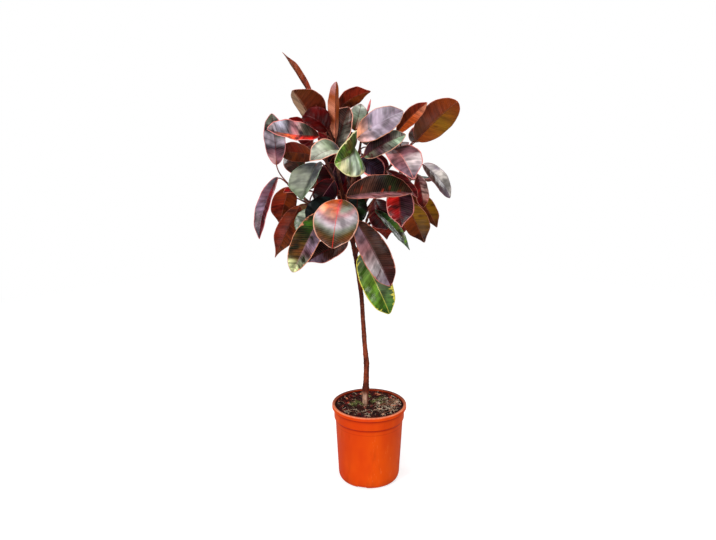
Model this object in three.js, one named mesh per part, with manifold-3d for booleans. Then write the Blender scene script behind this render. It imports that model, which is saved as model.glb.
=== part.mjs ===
// A potted rubber plant grown as a small standard: a bare trunk in a nursery pot,
// with a round crown of broad, folded leaves. Millimetres, +Z up, origin under the
// middle of the pot's base. Azimuth 0 looks toward -Y, the front, and 90 toward +X.
import * as THREE from "three";
import { mergeVertices } from "three/addons/utils/BufferGeometryUtils.js";
import Module from "manifold-3d";

const wasm = await Module();
wasm.setup();

// ---- driving dimensions ----
const gap = 0.3; // between touching pieces

const pot = {
  height: 222,
  rimRadius: 104.2,
  bandRadius: 98.2, // the straight band under the lip
  stepHeight: 181, // where the band steps in to the wall
  wallTopRadius: 94.8,
  wallFootRadius: 87.8,
  footHeight: 27, // where the rounded foot begins
  footRadius: 77,
  wall: 1.9,
  lipHeight: 10.5,
  floor: 2.2,
  floorRise: 4.5, // the drain ring's height over the ground
  discRadius: 28, // the flat middle of the base
  discSlope: 3, // the run of the slope around it
  ringRadius: 69, // the drain ring's outer edge
  footCurve: [[0, 0], [4, 2.5], [7.2, 7.5], [9.2, 15]], // outward from the foot, and up
  innerFoot: [[6.4, 15], [3, 8.2], [0, 6.7]], // the same inside
  rimCurve: [[-0.2, -2.6], [-1.8, -0.5], [-3.4, 0]], // from the lip's outer top edge
  stepSlope: 2, // the height of the step's slope
  sides: 36,
};
const drain = { holes: 8, radius: 5, ring: 50, sides: 7 };
const notch = { count: 4, width: 27, depth: 28, overlap: 2, firstAngle: 255 };

const soil = {
  edge: 217, // the height at the pot's wall
  mound: 2.5, // the rise towards the trunk
  slopeStart: 25, // radius where the mound's top ends
  slopeMiddle: 60,
  middleShare: 0.6, // the part of the mound's rise that is left there
  sides: 30,
};
const chips = {
  count: 32,
  seed: 7,
  smallest: 5,
  largest: 10,
  innermost: 24, // clear of the trunk
  sink: 0.25, // share of its size that is in the soil
  length: [1, 1.7],
  width: [0.6, 1],
  flatness: [0.3, 0.6],
  tilt: 0.4,
};

// The trunk's centre line, with its radius at each point.
const trunkLine = [
  [-8, 0, 131, 8.9],
  [-10.5, 0, 226, 8.7],
  [-10.5, 0, 250, 8.8],
  [-10, 0, 264, 9.6],
  [-9, 0, 282, 8.0],
  [-8, 0, 322, 7.6],
  [-8, 0, 342, 7.9],
  [-10, 0, 362, 7.1],
  [-13, 0, 395, 6.3],
  [-15, 0, 425, 6.5],
  [-18, 0, 468, 6.0],
  [-22, 0, 531, 5.9],
  [-32, 0, 605, 5.9],
  [-41, 0, 661, 6.2],
  [-51, 1, 707, 6.1],
  [-60, 3, 750, 5.6],
  [-66, 5, 795, 4.6],
];
const trunkShape = { sides: 9, steps: 26 };

const branch = { foot: 5.0, tip: 2.3, sides: 7, woodSteps: 4, stemSteps: 4 };
const petiole = {
  foot: 2.0,
  end: 1.2,
  sides: 4,
  steps: 4,
  seat: 0.05, // where it ends, as a share of the midrib
  upward: 0.5, // how far it leaves along the branch and not straight at the leaf
  firstPull: 0.4,
  secondPull: 0.35,
};
const blade = {
  thickness: 1.0,
  curl: 0.16, // how far its edges bend back, as a share of the half width
  roundness: 0.56,
  point: 0.3, // how sharp most ends are
  endStart: 0.95, // where a blunt end starts to narrow
  endReach: 0.4, // how much sooner a sharp one does
  twistCentre: 0.4,
};
const bladeRows = [0, 0.1, 0.34, 0.64, 0.9, 1]; // along the midrib
const bladeColumns = [-1, -0.5, 0, 0.5, 1]; // across it
const sheath = {
  length: 32,
  radius: 3.5,
  sides: 8,
  profile: [[0, 0], [0.75, 0], [1, 0.25], [0.75, 0.6], [0.25, 0.93], [0, 1]], // radius, height
};

// Each leafy shoot grows on a branch of the trunk: the branch's line, the share of it
// that is bare wood, and its leaves. A leaf is: place along the branch, the blade's base,
// its tip, its width, the azimuth and height that its upper side faces, the rise of its
// midrib, the fold of its halves and its twist, in degrees, and where its end is sharper
// than most, how sharp it is.
const shoots = [
  {
    name: "shoot_top",
    line: [[-64, 4, 780], [-76, 9, 830], [-90, 9, 905], [-102, 6, 980]],
    wood: 0.3,
    leaves: [
      [0.9, [-147, 15, 1052], [-221, -5, 1169], 39, 175, 16, 17, 65, 0, 0.8],
      [0.84, [-145, 26, 982], [-197, -2, 1076], 124, 145, 25, 5, 34, 0, 0.4],
      [0.62, [-109, -24, 978], [-169, -18, 1015], 76, 30, 22, 13, 29, 0, 0.1],
      [0.7, [-88, -9, 956], [-85, -49, 1097], 53, 198, 3, 7, 56, 0, 0.2],
      [0.9, [-90, 26, 1017], [2, 66, 1073], 66, 190, 40, 16, 14, 0, 0.6],
      [0.55, [-87, 16, 930], [-54, 14, 1034], 92, -31, 14, 4, 31, 0],
    ],
  },
  {
    name: "shoot_upper_left",
    line: [[-58, 3, 740], [-78, -6, 795], [-100, -13, 870], [-125, -24, 930]],
    wood: 0.4,
    leaves: [
      [0.88, [-129, -35, 964], [-256, -78, 983], 96, -15, 54, -7, 30, 0, 0.2],
      [0.8, [-146, 8, 910], [-243, 30, 917], 68, 180, 35, 8, 10, 0],
      [0.84, [-78, -63, 931], [-149, -109, 908], 69, -15, 33, 15, 35, 0, 0.5],
      [0.7, [-152, 30, 938], [-215, 70, 1003], 60, 180, 25, 8, 10, 0],
      [0.56, [-134, -57, 898], [-169, -133, 816], 109, -37, 29, 4, 34, 0, 0.5],
      [0.46, [-94, -34, 851], [-136, -52, 791], 62, 5, 20, 8, 14, 0],
    ],
  },
  {
    name: "shoot_left",
    line: [[-55, 2, 727], [-98, 0, 760], [-163, -10, 795], [-214, -20, 840]],
    wood: 0.42,
    leaves: [
      [0.9, [-241, -22, 890], [-248, -34, 1020], 60, -15, 5, -6, 12, 0],
      [0.84, [-238, -24, 859], [-286, -57, 703], 50, -26, 17, 18, 38, 0, 0.4],
      [0.8, [-213, 26, 827], [-243, 48, 723], 72, 200, 10, 8, 14, 0, 0.6],
      [0.6, [-148, -40, 825], [-218, -80, 827], 54, -10, 80, 6, 12, 0],
      [0.68, [-180, 52, 863], [-218, 130, 920], 72, -120, 45, 10, 14, 0],
    ],
  },
  {
    name: "shoot_top_centre",
    line: [[-60, 5, 750], [-50, 16, 805], [-34, 24, 885], [-22, 30, 955], [-6, 37, 1023]],
    wood: 0.35,
    sheathed: true,
    leaves: [
      [0.75, [-34, -28, 957], [82, -40, 1025], 80, 8, 38, 12, 12, 0],
      [0.62, [-16, -44, 913], [88, -58, 969], 66, -5, 45, 8, 16, 0],
      [0.85, [-40, 40, 973], [-23, 62, 1041], 50, 20, 50, 4, 10, 0],
      [0.86, [18, 66, 1005], [80, 142, 1010], 76, 130, 55, 12, 14, 0],
      [0.8, [-42, 66, 965], [-116, 96, 874], 76, 190, 20, 10, 14, 0],
      [0.62, [0, 84, 930], [22, 195, 935], 80, 170, 60, 14, 14, 0],
    ],
  },
  {
    name: "shoot_top_right",
    line: [[-55, 4, 720], [-28, 18, 770], [22, 28, 845], [67, 32, 895], [104, 30, 937]],
    wood: 0.5,
    leaves: [
      [0.88, [69, 19, 970], [148, 36, 1045], 51, 187, 37, 6, 9, 0, 0.4],
      [0.93, [124, 58, 946], [226, 29, 1048], 94, 180, 19, 12, 17, 0, 0.1],
      [0.84, [114, 78, 940], [187, 165, 965], 78, 125, 50, 12, 14, 0],
      [0.7, [62, 84, 910], [80, 200, 930], 78, 165, 60, 12, 14, 0],
    ],
  },
  {
    name: "shoot_right",
    line: [[-48, 0, 695], [-26, -6, 740], [12, -10, 800], [60, -12, 850], [100, -14, 889]],
    wood: 0.5,
    sheathed: true,
    leaves: [
      [0.86, [60, -33, 930], [104, -128, 866], 95, 10, 31, 15, 27, 0, 0.5],
      [0.88, [136, -6, 890], [212, 14, 800], 62, 40, 30, 12, 14, 0],
      [0.86, [127, 40, 855], [144, 36, 771], 50, 35, 10, 3, 14, 0, 0.2],
      [0.7, [42, -36, 877], [120, -62, 811], 50, 20, 70, 6, 20, 0],
      [0.66, [68, -60, 843], [78, -92, 740], 76, 5, 10, 10, 22, 0, 0.7],
    ],
  },
  {
    name: "shoot_centre",
    line: [[-55, 1, 725], [-53, -22, 760], [-50, -52, 820], [-44, -78, 885]],
    wood: 0.35,
    leaves: [
      [0.9, [-45, -92, 947], [-87, -180, 910], 118, 19, -13, 24, 25, 0, 0.2],
      [0.8, [-29, -32, 905], [34, -41, 863], 66, 21, 30, 6, 15, 0],
      [0.55, [-60, -96, 819], [105, -89, 828], 109, -1, 56, 5, 37, 0],
      [0.45, [-32, -60, 817], [-36, -76, 747], 56, -5, 12, 6, 14, 0],
    ],
  },
  {
    name: "shoot_low_front",
    line: [[-46, 0, 685], [-56, -22, 710], [-70, -62, 757], [-84, -100, 800]],
    wood: 0.3,
    leaves: [
      [0.9, [-74, -130, 817], [-93, -205, 711], 112, -5, 28, 16, 10, 0],
      [0.85, [-124, -85, 777], [-196, -130, 633], 84, -20, 17, -2, 32, 0, 0.1],
      [0.42, [-58, -56, 697], [-164, -72, 645], 62, 15, 40, 10, 16, 0, 0.7],
      [0.75, [-94, -60, 805], [-163, -62, 750], 66, -5, 20, 8, 12, 0],
    ],
  },
  {
    name: "shoot_low_right",
    line: [[-39, 0, 650], [-32, -22, 670], [-18, -52, 715], [-6, -76, 770]],
    wood: 0.22,
    leaves: [
      [0.8, [-36, -98, 757], [52, -102, 590], 84, 10, 15, 12, 30, 0],
      [0.35, [-26, -44, 660], [52, -60, 502], 82, 12, 20, 14, 14, 0],
      [0.9, [12, -72, 780], [102, -62, 675], 46, 40, 50, 8, 18, 0, 0.7],
      [0.88, [12, -50, 805], [44, -30, 723], 70, 5, 5, 8, 12, 0, 0.6],
    ],
  },
  {
    name: "shoot_low_right_back",
    line: [[-47, 1, 690], [-23, 22, 710], [22, 42, 745], [62, 58, 775], [94, 68, 807]],
    wood: 0.5,
    leaves: [
      [0.85, [96, 60, 780], [152, 70, 667], 76, 160, -5, 10, 14, 0, 0.6],
      [0.9, [120, 88, 807], [188, 95, 705], 56, 150, 10, 10, 14, 0, 0.5],
      [0.86, [114, 108, 835], [167, 195, 820], 76, 130, 55, 14, 14, 0],
      [0.65, [62, 100, 760], [87, 165, 665], 74, 170, 20, 12, 14, 0],
    ],
  },
  {
    name: "shoot_low_left_back",
    line: [[-48, 1, 695], [-73, 12, 720], [-118, 28, 750], [-180, 36, 790]],
    wood: 0.42,
    leaves: [
      [0.84, [-186, 4, 780], [-254, 2, 640], 60, 190, 0, 12, 14, 0, 0.8],
      [0.6, [-138, 8, 769], [-190, -24, 713], 62, -15, 20, 8, 12, 0],
      [0.88, [-210, 72, 793], [-258, 137, 735], 74, -120, 40, 14, 14, 0, 0.6],
      [0.75, [-158, 80, 775], [-183, 165, 710], 76, 200, 35, 12, 14, 0],
    ],
  },
  {
    name: "shoot_back",
    line: [[-57, 3, 735], [-56, 40, 775], [-58, 85, 835], [-60, 120, 905]],
    wood: 0.4,
    sheathed: true,
    leaves: [
      [0.82, [-90, 130, 908], [-122, 158, 994], 78, 195, 30, 8, 12, 0],
      [0.84, [-98, 138, 910], [-193, 175, 910], 76, -140, 55, 12, 14, 0, 0.6],
      [0.82, [-18, 148, 903], [42, 174, 828], 84, 160, 20, 10, 14, 0],
      [0.72, [-56, 127, 868], [-50, 119, 788], 68, 185, 10, 8, 14, 0],
      [0.66, [-93, 115, 840], [-178, 150, 800], 72, -140, 45, 12, 14, 0],
      [0.56, [-90, 74, 884], [-118, 60, 806], 80, 5, 15, 10, 14, 0],
    ],
  },
  {
    name: "shoot_back_low",
    line: [[-45, 1, 680], [-36, 30, 705], [-20, 70, 750], [-3, 105, 795]],
    wood: 0.4,
    sheathed: true,
    leaves: [
      [0.8, [20, 130, 811], [78, 205, 793], 76, 150, 50, 14, 14, 0],
      [0.86, [-33, 135, 795], [-73, 215, 750], 78, 190, 40, 14, 14, 0],
      [0.72, [17, 110, 745], [52, 170, 655], 74, 160, 20, 12, 14, 0, 0.7],
      [0.6, [-53, 90, 720], [-93, 140, 635], 72, 195, 15, 12, 14, 0],
    ],
  },
];

const colours = {
  pot: 0xd8440c,
  soil: 0x2c211c,
  bark: 0x4f332b,
  leaf: 0x55393a,
  sheath: 0xc9616c,
};

// ---- geometry helpers ----
function vec(p) {
  return new THREE.Vector3(p[0], p[1], p[2]);
}

function mix(a, b, share) {
  return a + (b - a) * share;
}

// A drawer of numbers between 0 and 1, the same on every run.
function drawer(seed) {
  let state = seed;
  return () => {
    state = (state * 16807) % 2147483647;
    return state / 2147483647;
  };
}

function solidOf(geometry) {
  const bare = geometry.clone();
  bare.deleteAttribute("normal");
  bare.deleteAttribute("uv");
  const merged = mergeVertices(bare, 1e-4);
  return new wasm.Manifold(
    new wasm.Mesh({
      numProp: 3,
      vertProperties: merged.attributes.position.array,
      triVerts: new Uint32Array(merged.index.array),
    }),
  );
}

function meshOf(name, solid, colour, roughness) {
  const { vertProperties, triVerts } = solid.getMesh();
  const geometry = new THREE.BufferGeometry();
  geometry.setAttribute("position", new THREE.BufferAttribute(vertProperties, 3));
  geometry.setIndex(new THREE.BufferAttribute(triVerts, 1));
  geometry.computeVertexNormals();
  const material = new THREE.MeshStandardMaterial({ color: colour, roughness, metalness: 0 });
  const mesh = new THREE.Mesh(geometry, material);
  mesh.name = name;
  return mesh;
}

// A solid of revolution about Z from [radius, height] points.
function lathe(profile, sides) {
  const points = profile.map(([radius, height]) => new THREE.Vector2(radius, height));
  return solidOf(new THREE.LatheGeometry(points, sides).rotateX(Math.PI / 2));
}

// A round bar that follows a curve from one share of its length to another.
function sweep(curve, from, to, radiusAt, sides, steps) {
  const corners = [...Array(sides).keys()].map((i) => {
    const angle = (2 * Math.PI * i) / sides;
    return new THREE.Vector2(Math.cos(angle), Math.sin(angle));
  });
  const settings = { depth: 1, steps, bevelEnabled: false };
  const bar = new THREE.ExtrudeGeometry(new THREE.Shape(corners), settings);
  const rings = ringFrames(curve, from, to, steps);
  const place = bar.attributes.position;
  for (let i = 0; i < place.count; i++) {
    const ring = rings[Math.round(place.getZ(i) * steps)];
    const radius = radiusAt(ring.share);
    const point = ring.centre
      .clone()
      .addScaledVector(ring.normal, place.getX(i) * radius)
      .addScaledVector(ring.binormal, place.getY(i) * radius);
    place.setXYZ(i, point.x, point.y, point.z);
  }
  return solidOf(bar);
}

function ringFrames(curve, from, to, steps) {
  const rings = [];
  let normal = new THREE.Vector3(1, 0.3, 0.2);
  for (let i = 0; i <= steps; i++) {
    const share = mix(from, to, i / steps);
    const tangent = curve.getTangentAt(share);
    normal = normal.clone().addScaledVector(tangent, -normal.dot(tangent)).normalize();
    const binormal = tangent.clone().cross(normal);
    rings.push({ share, centre: curve.getPointAt(share), tangent, normal, binormal });
  }
  return rings;
}

function curveThrough(points) {
  return new THREE.CatmullRomCurve3(points.map(vec), false, "catmullrom", 0.5);
}

// ---- pot ----
function innerRadius(height) {
  const share = (height - pot.footHeight) / (pot.stepHeight - pot.footHeight);
  return mix(pot.wallFootRadius, pot.wallTopRadius, share) - pot.wall;
}

// Points given from a corner, placed at it.
function placed(points, radius, height) {
  return points.map(([outward, up]) => [radius + outward, height + up]);
}

// Up the outside, over the hollow lip and down the inside.
function potProfile() {
  const { height: top, wall, footRadius, bandRadius, rimRadius, stepHeight, stepSlope } = pot;
  const under = top - wall;
  const lipFoot = top - pot.lipHeight;
  const outside = [
    [0, 0],
    [pot.discRadius, 0],
    [pot.discRadius + pot.discSlope, pot.floorRise],
    [pot.ringRadius, pot.floorRise],
    [pot.ringRadius + 1, 0],
    ...placed(pot.footCurve, footRadius, 0),
    [pot.wallFootRadius, pot.footHeight],
    [pot.wallTopRadius, stepHeight - stepSlope / 2],
    [bandRadius - 0.6, stepHeight + stepSlope / 2],
    [bandRadius, stepHeight + stepSlope],
    [bandRadius + 0.5, under],
  ];
  const lip = [
    [rimRadius - wall, under],
    [rimRadius - wall, lipFoot],
    [rimRadius, lipFoot],
    ...placed(pot.rimCurve, rimRadius, top),
    [bandRadius, top],
    [bandRadius - 0.8 * wall, top - 0.7 * wall],
  ];
  const inside = [
    [bandRadius - wall, stepHeight + stepSlope],
    [innerRadius(stepHeight), stepHeight - stepSlope / 2],
    [innerRadius(pot.footHeight), pot.footHeight],
    ...placed(pot.innerFoot, footRadius, 0),
    [pot.discRadius + wall, pot.floorRise + pot.floor],
    [pot.discRadius, pot.floor],
    [0, pot.floor],
  ];
  return [...outside, ...lip, ...inside];
}

function cylinderAt(radius, height, sides, x, y, z) {
  const shape = new THREE.CylinderGeometry(radius, radius, height, sides);
  return solidOf(shape.rotateX(Math.PI / 2).translate(x, y, z));
}

function makePot() {
  let body = lathe(potProfile(), pot.sides);
  for (let i = 0; i < drain.holes; i++) {
    const angle = (2 * Math.PI * (i + 0.5)) / drain.holes;
    const x = drain.ring * Math.cos(angle);
    const y = drain.ring * Math.sin(angle);
    const through = 4 * pot.floorRise;
    body = body.subtract(cylinderAt(drain.radius, through, drain.sides, x, y, pot.floorRise));
  }
  for (let i = 0; i < notch.count; i++) {
    const cut = new THREE.BoxGeometry(notch.depth, notch.width, 2 * pot.floorRise);
    cut.translate(pot.ringRadius - notch.overlap + notch.depth / 2, 0, 0);
    cut.rotateZ(THREE.MathUtils.degToRad(notch.firstAngle + (360 * i) / notch.count));
    body = body.subtract(solidOf(cut));
  }
  return meshOf("pot", body, colours.pot, 0.45);
}

// ---- soil ----
function soilProfile() {
  const bed = pot.floorRise + pot.floor + gap;
  const radiusAt = (height) => innerRadius(height) - 2 * gap;
  const bandInside = pot.bandRadius - pot.wall - 3 * gap;
  const [footOut, footUp] = pot.innerFoot[0];
  return [
    [0, bed],
    [pot.footRadius - 1, bed],
    [pot.footRadius + footOut - 4 * gap, footUp + 1],
    [radiusAt(pot.footHeight), pot.footHeight],
    [radiusAt(pot.stepHeight) - gap, pot.stepHeight - pot.stepSlope],
    [bandInside, pot.stepHeight + 2 * pot.stepSlope],
    [bandInside, soil.edge],
    [soil.slopeMiddle, soil.edge + soil.middleShare * soil.mound],
    [soil.slopeStart, soil.edge + soil.mound],
    [0, soil.edge + soil.mound],
  ];
}

function chipAt(draw) {
  const reach = pot.bandRadius - pot.wall - 1.2 * chips.largest;
  const angle = 2 * Math.PI * draw();
  const radius = mix(chips.innermost, reach, Math.sqrt(draw()));
  const size = mix(chips.smallest, chips.largest, draw());
  const chip = new THREE.DodecahedronGeometry(size / 2, 0);
  const within = ([low, high]) => mix(low, high, draw());
  chip.scale(within(chips.length), within(chips.width), within(chips.flatness));
  chip.rotateX(within([-chips.tilt, chips.tilt])).rotateZ(2 * Math.PI * draw());
  const height = soil.edge + soil.mound * mix(0.9, 0.1, radius / reach);
  chip.translate(radius * Math.cos(angle), radius * Math.sin(angle), height - chips.sink * size);
  return solidOf(chip);
}

function makeSoil() {
  const draw = drawer(chips.seed);
  let body = lathe(soilProfile(), soil.sides);
  for (let i = 0; i < chips.count; i++) body = body.add(chipAt(draw));
  body = body.subtract(trunkBar(gap));
  return meshOf("soil", body, colours.soil, 0.95);
}

// ---- trunk and branches ----
function trunkBar(extra) {
  const foot = [trunkLine[0][0], trunkLine[0][1], trunkLine[0][2] - extra];
  const curve = curveThrough([foot, ...trunkLine.slice(1)]);
  const heights = trunkLine.map((p) => p[2]);
  const radiusAt = (share) => {
    const height = curve.getPointAt(share).z;
    const next = Math.max(1, heights.findIndex((h) => h >= height));
    const part = (height - heights[next - 1]) / (heights[next] - heights[next - 1]);
    return mix(trunkLine[next - 1][3], trunkLine[next][3], Math.max(0, part)) + extra;
  };
  return sweep(curve, 0, 1, radiusAt, trunkShape.sides, trunkShape.steps);
}

function branchRadius(share) {
  return mix(branch.foot, branch.tip, share);
}

function makeTrunk() {
  let body = trunkBar(0);
  for (const shoot of shoots) {
    const curve = curveThrough(shoot.line);
    const { sides, woodSteps } = branch;
    body = body.add(sweep(curve, 0, shoot.wood, branchRadius, sides, woodSteps));
  }
  return meshOf("trunk", body, colours.bark, 0.8);
}

// ---- leaves ----
function leafOf(row) {
  const [along, base, tip, width, azimuth, height, rise, foldAngle, twistAngle, point = blade.point] = row;
  const [turn, lift, fold, twist] = [azimuth, height, foldAngle, twistAngle].map(THREE.MathUtils.degToRad);
  const flat = Math.cos(lift);
  const facing = vec([flat * Math.sin(turn), -flat * Math.cos(turn), Math.sin(lift)]);
  const span = vec(tip).sub(vec(base));
  const axis = span.clone().normalize();
  const normal = facing.addScaledVector(axis, -facing.dot(axis)).normalize();
  return { along, base: vec(base), axis, normal, length: span.length(), width, rise, fold, twist, point };
}

// Half the blade's width at a share of its length: a broad oval that narrows to a point,
// over more of its length where the point is sharper.
function halfWidth(leaf, share) {
  const oval = Math.pow(Math.max(0, 4 * share * (1 - share)), blade.roundness);
  const start = blade.endStart - blade.endReach * leaf.point;
  const narrowing = THREE.MathUtils.smoothstep(share, start, 1);
  return 0.5 * leaf.width * oval * (1 - leaf.point * narrowing);
}

function midribAt(leaf, share) {
  return leaf.base
    .clone()
    .addScaledVector(leaf.axis, leaf.length * share)
    .addScaledVector(leaf.normal, leaf.rise * 4 * share * (1 - share));
}

function midribTangent(leaf, share) {
  return leaf.axis
    .clone()
    .multiplyScalar(leaf.length)
    .addScaledVector(leaf.normal, leaf.rise * 4 * (1 - 2 * share))
    .normalize();
}

// A point of the blade's middle surface: share along the midrib, across from -1 to 1.
function bladePoint(leaf, share, across) {
  const tangent = midribTangent(leaf, share);
  const normal = leaf.normal.clone().applyAxisAngle(leaf.axis, leaf.twist * (share - blade.twistCentre));
  normal.addScaledVector(tangent, -normal.dot(tangent)).normalize();
  const side = tangent.clone().cross(normal);
  const half = halfWidth(leaf, share);
  const lift = Math.abs(across) * half * Math.sin(leaf.fold) - blade.curl * half * across ** 2;
  return midribAt(leaf, share)
    .addScaledVector(side, across * half * Math.cos(leaf.fold))
    .addScaledVector(normal, lift);
}

function bladeNormal(leaf, share, across) {
  const step = 0.02;
  const inside = THREE.MathUtils.clamp(share, step, 1 - step);
  const along = bladePoint(leaf, inside + step, across).sub(bladePoint(leaf, inside - step, across));
  const left = bladePoint(leaf, inside, across - 2 * step);
  const right = bladePoint(leaf, inside, across + 2 * step);
  return right.sub(left).cross(along).normalize();
}

// The blade's upper and under surfaces, each from base to tip, row by row.
function bladePoints(leaf) {
  const points = [];
  for (const offset of [blade.thickness / 2, -blade.thickness / 2]) {
    const place = (share, across) => {
      const point = bladePoint(leaf, share, across);
      points.push(point.addScaledVector(bladeNormal(leaf, share, across), offset));
    };
    place(0, 0);
    bladeRows.slice(1, -1).forEach((share) => bladeColumns.forEach((across) => place(share, across)));
    place(1, 0);
  }
  return points;
}

// The triangles of one surface, with a fan at the base and another at the tip.
function surfaceFaces(at, lastRow, tip) {
  const faces = [];
  for (let column = 0; column < bladeColumns.length - 1; column++) {
    faces.push([0, at(0, column + 1), at(0, column)]);
    faces.push([tip, at(lastRow, column), at(lastRow, column + 1)]);
    for (let row = 0; row < lastRow; row++) {
      faces.push([at(row, column), at(row, column + 1), at(row + 1, column + 1)]);
      faces.push([at(row, column), at(row + 1, column + 1), at(row + 1, column)]);
    }
  }
  return faces;
}

function bladeSolid(leaf) {
  const points = bladePoints(leaf);
  const count = points.length / 2;
  const rows = [...Array(bladeRows.length - 2).keys()];
  const lastColumn = bladeColumns.length - 1;
  const at = (row, column) => 1 + row * bladeColumns.length + column;
  const top = surfaceFaces(at, rows.length - 1, count - 1);
  const bottom = top.map(([a, b, c]) => [a + count, c + count, b + count]);
  const right = rows.map((row) => at(row, lastColumn));
  const left = rows.map((row) => at(row, 0)).reverse();
  const rim = [0, ...right, count - 1, ...left];
  const wall = rim.flatMap((a, i) => {
    const b = rim[(i + 1) % rim.length];
    return [[a, a + count, b + count], [a, b + count, b]];
  });
  const geometry = new THREE.BufferGeometry().setFromPoints(points);
  geometry.setIndex([...top, ...bottom, ...wall].flat());
  return solidOf(geometry);
}

function petioleSolid(leaf, curve) {
  const root = curve.getPointAt(leaf.along);
  const end = midribAt(leaf, petiole.seat);
  const reach = root.distanceTo(end);
  const leaving = end.clone().sub(root).normalize().lerp(curve.getTangentAt(leaf.along), petiole.upward);
  const first = root.clone().addScaledVector(leaving.normalize(), petiole.firstPull * reach);
  const second = end.clone().addScaledVector(midribTangent(leaf, 0), -petiole.secondPull * reach);
  const path = new THREE.CubicBezierCurve3(root, first, second, end);
  const radiusAt = (share) => mix(petiole.foot, petiole.end, share);
  return sweep(path, 0, 1, radiusAt, petiole.sides, petiole.steps);
}

function makeShoot(shoot) {
  const curve = curveThrough(shoot.line);
  const start = shoot.wood + gap / curve.getLength();
  let body = sweep(curve, start, 1, branchRadius, branch.sides, branch.stemSteps);
  for (const row of shoot.leaves) {
    const leaf = leafOf(row);
    body = body.add(petioleSolid(leaf, curve)).add(bladeSolid(leaf));
  }
  return meshOf(shoot.name, body, colours.leaf, 0.4);
}

// The rolled pink sheath around the next leaf, standing on the shoot's tip.
function makeSheath(shoot) {
  const curve = curveThrough(shoot.line);
  const profile = sheath.profile.map(([across, up]) => [across * sheath.radius, up * sheath.length]);
  const name = shoot.name.replace("shoot", "sheath");
  const mesh = meshOf(name, lathe(profile, sheath.sides), colours.sheath, 0.45);
  const upright = new THREE.Vector3(0, 0, 1);
  mesh.quaternion.setFromUnitVectors(upright, curve.getTangentAt(1));
  mesh.position.copy(curve.getPointAt(1)).addScaledVector(curve.getTangentAt(1), gap);
  return mesh;
}

function makePlant() {
  const plant = new THREE.Group();
  plant.add(makePot(), makeSoil(), makeTrunk());
  for (const shoot of shoots) plant.add(makeShoot(shoot));
  for (const shoot of shoots.filter((each) => each.sheathed)) plant.add(makeSheath(shoot));
  return plant;
}

export default makePlant();
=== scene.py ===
import math
import random

import bpy
import numpy as np
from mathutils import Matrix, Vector


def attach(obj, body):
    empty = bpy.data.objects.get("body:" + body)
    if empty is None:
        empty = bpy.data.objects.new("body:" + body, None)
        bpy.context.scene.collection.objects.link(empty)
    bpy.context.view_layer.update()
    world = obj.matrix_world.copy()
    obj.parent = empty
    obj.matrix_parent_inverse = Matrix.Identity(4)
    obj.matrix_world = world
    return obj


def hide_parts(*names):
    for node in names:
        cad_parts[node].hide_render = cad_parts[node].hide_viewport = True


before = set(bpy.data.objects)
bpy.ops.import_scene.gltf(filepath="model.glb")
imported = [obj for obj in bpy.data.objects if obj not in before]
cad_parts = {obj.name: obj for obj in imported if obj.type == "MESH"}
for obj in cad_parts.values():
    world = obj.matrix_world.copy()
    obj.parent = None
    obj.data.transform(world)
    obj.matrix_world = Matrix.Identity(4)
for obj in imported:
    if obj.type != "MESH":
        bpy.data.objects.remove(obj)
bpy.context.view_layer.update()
mm = 0.001


# ---------- camera, light and floor ----------
view = {
    "place": (-0.0315, -1.925, 1.0859),
    "tiltDown": 13.98,  # degrees below level
    "lens": 37.1,
    "sensor": 36.0,
}
studio = {
    "skySeen": 1.0,  # what the camera sees behind the floor
    "skyLight": 0.13,
    "aim": (-0.02, 0.0, 0.85),
    "softboxes": {  # place, size and power
        "overhead": ((-0.2, -0.5, 3.1), 1.6, 46),
        "keyLeft": ((-1.9, -2.1, 2.0), 0.9, 44),
        "frontRight": ((1.7, -2.6, 1.1), 0.9, 25),
        "frontLow": ((-0.5, -2.7, 0.35), 0.9, 29),
        "backLeft": ((-2.2, 1.6, 1.9), 1.0, 26),
        "backRight": ((2.3, 1.5, 1.9), 1.0, 26),
        "backLight": ((0.6, 2.2, 2.5), 1.2, 10),
    },
}


def newObject(name, data):
    thing = bpy.data.objects.new(name, data)
    bpy.context.scene.collection.objects.link(thing)
    return thing


def addCamera():
    data = bpy.data.cameras.new("photoView")
    data.lens = view["lens"]
    data.sensor_width = view["sensor"]
    camera = newObject("photoView", data)
    camera.location = view["place"]
    camera.rotation_euler = (math.radians(90 - view["tiltDown"]), 0, 0)
    bpy.context.scene.camera = camera


def addSoftbox(name, place, size, power):
    data = bpy.data.lights.new(name, "AREA")
    data.size = size
    data.energy = power
    lamp = newObject(name, data)
    lamp.location = place
    towards = Vector(studio["aim"]) - Vector(place)
    lamp.rotation_euler = towards.to_track_quat("-Z", "Y").to_euler()


def addStudio():
    world = bpy.data.worlds.new("paleRoom")
    world.use_nodes = True
    seen = addNode(world.node_tree, "ShaderNodeLightPath").outputs["Is Camera Ray"]
    strength = ramp(seen, 0.0, 1.0, studio["skyLight"], studio["skySeen"])
    putAll(world.node_tree.nodes["Background"], {"Color": (1, 1, 1, 1), "Strength": strength})
    bpy.context.scene.world = world
    for name, (place, size, power) in studio["softboxes"].items():
        addSoftbox(name, place, size, power)
    bpy.context.scene.view_settings.view_transform = "Standard"


# ---------- object helpers ----------
def deselectAll():
    if bpy.context.object and bpy.context.object.mode != "OBJECT":
        bpy.ops.object.mode_set(mode="OBJECT")
    bpy.ops.object.select_all(action="DESELECT")


def pick(*objects):
    deselectAll()
    for each in objects:
        each.select_set(True)
    bpy.context.view_layer.objects.active = objects[0]


def editAll(piece):
    pick(piece)
    bpy.ops.object.mode_set(mode="EDIT")
    bpy.ops.mesh.select_all(action="SELECT")


def join(name, pieces):
    pick(*pieces)
    bpy.ops.object.join()
    piece = bpy.context.object
    piece.name = name
    piece.data.name = name
    return piece


def copyOf(blank):
    return newObject(blank.name, blank.data.copy())


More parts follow.
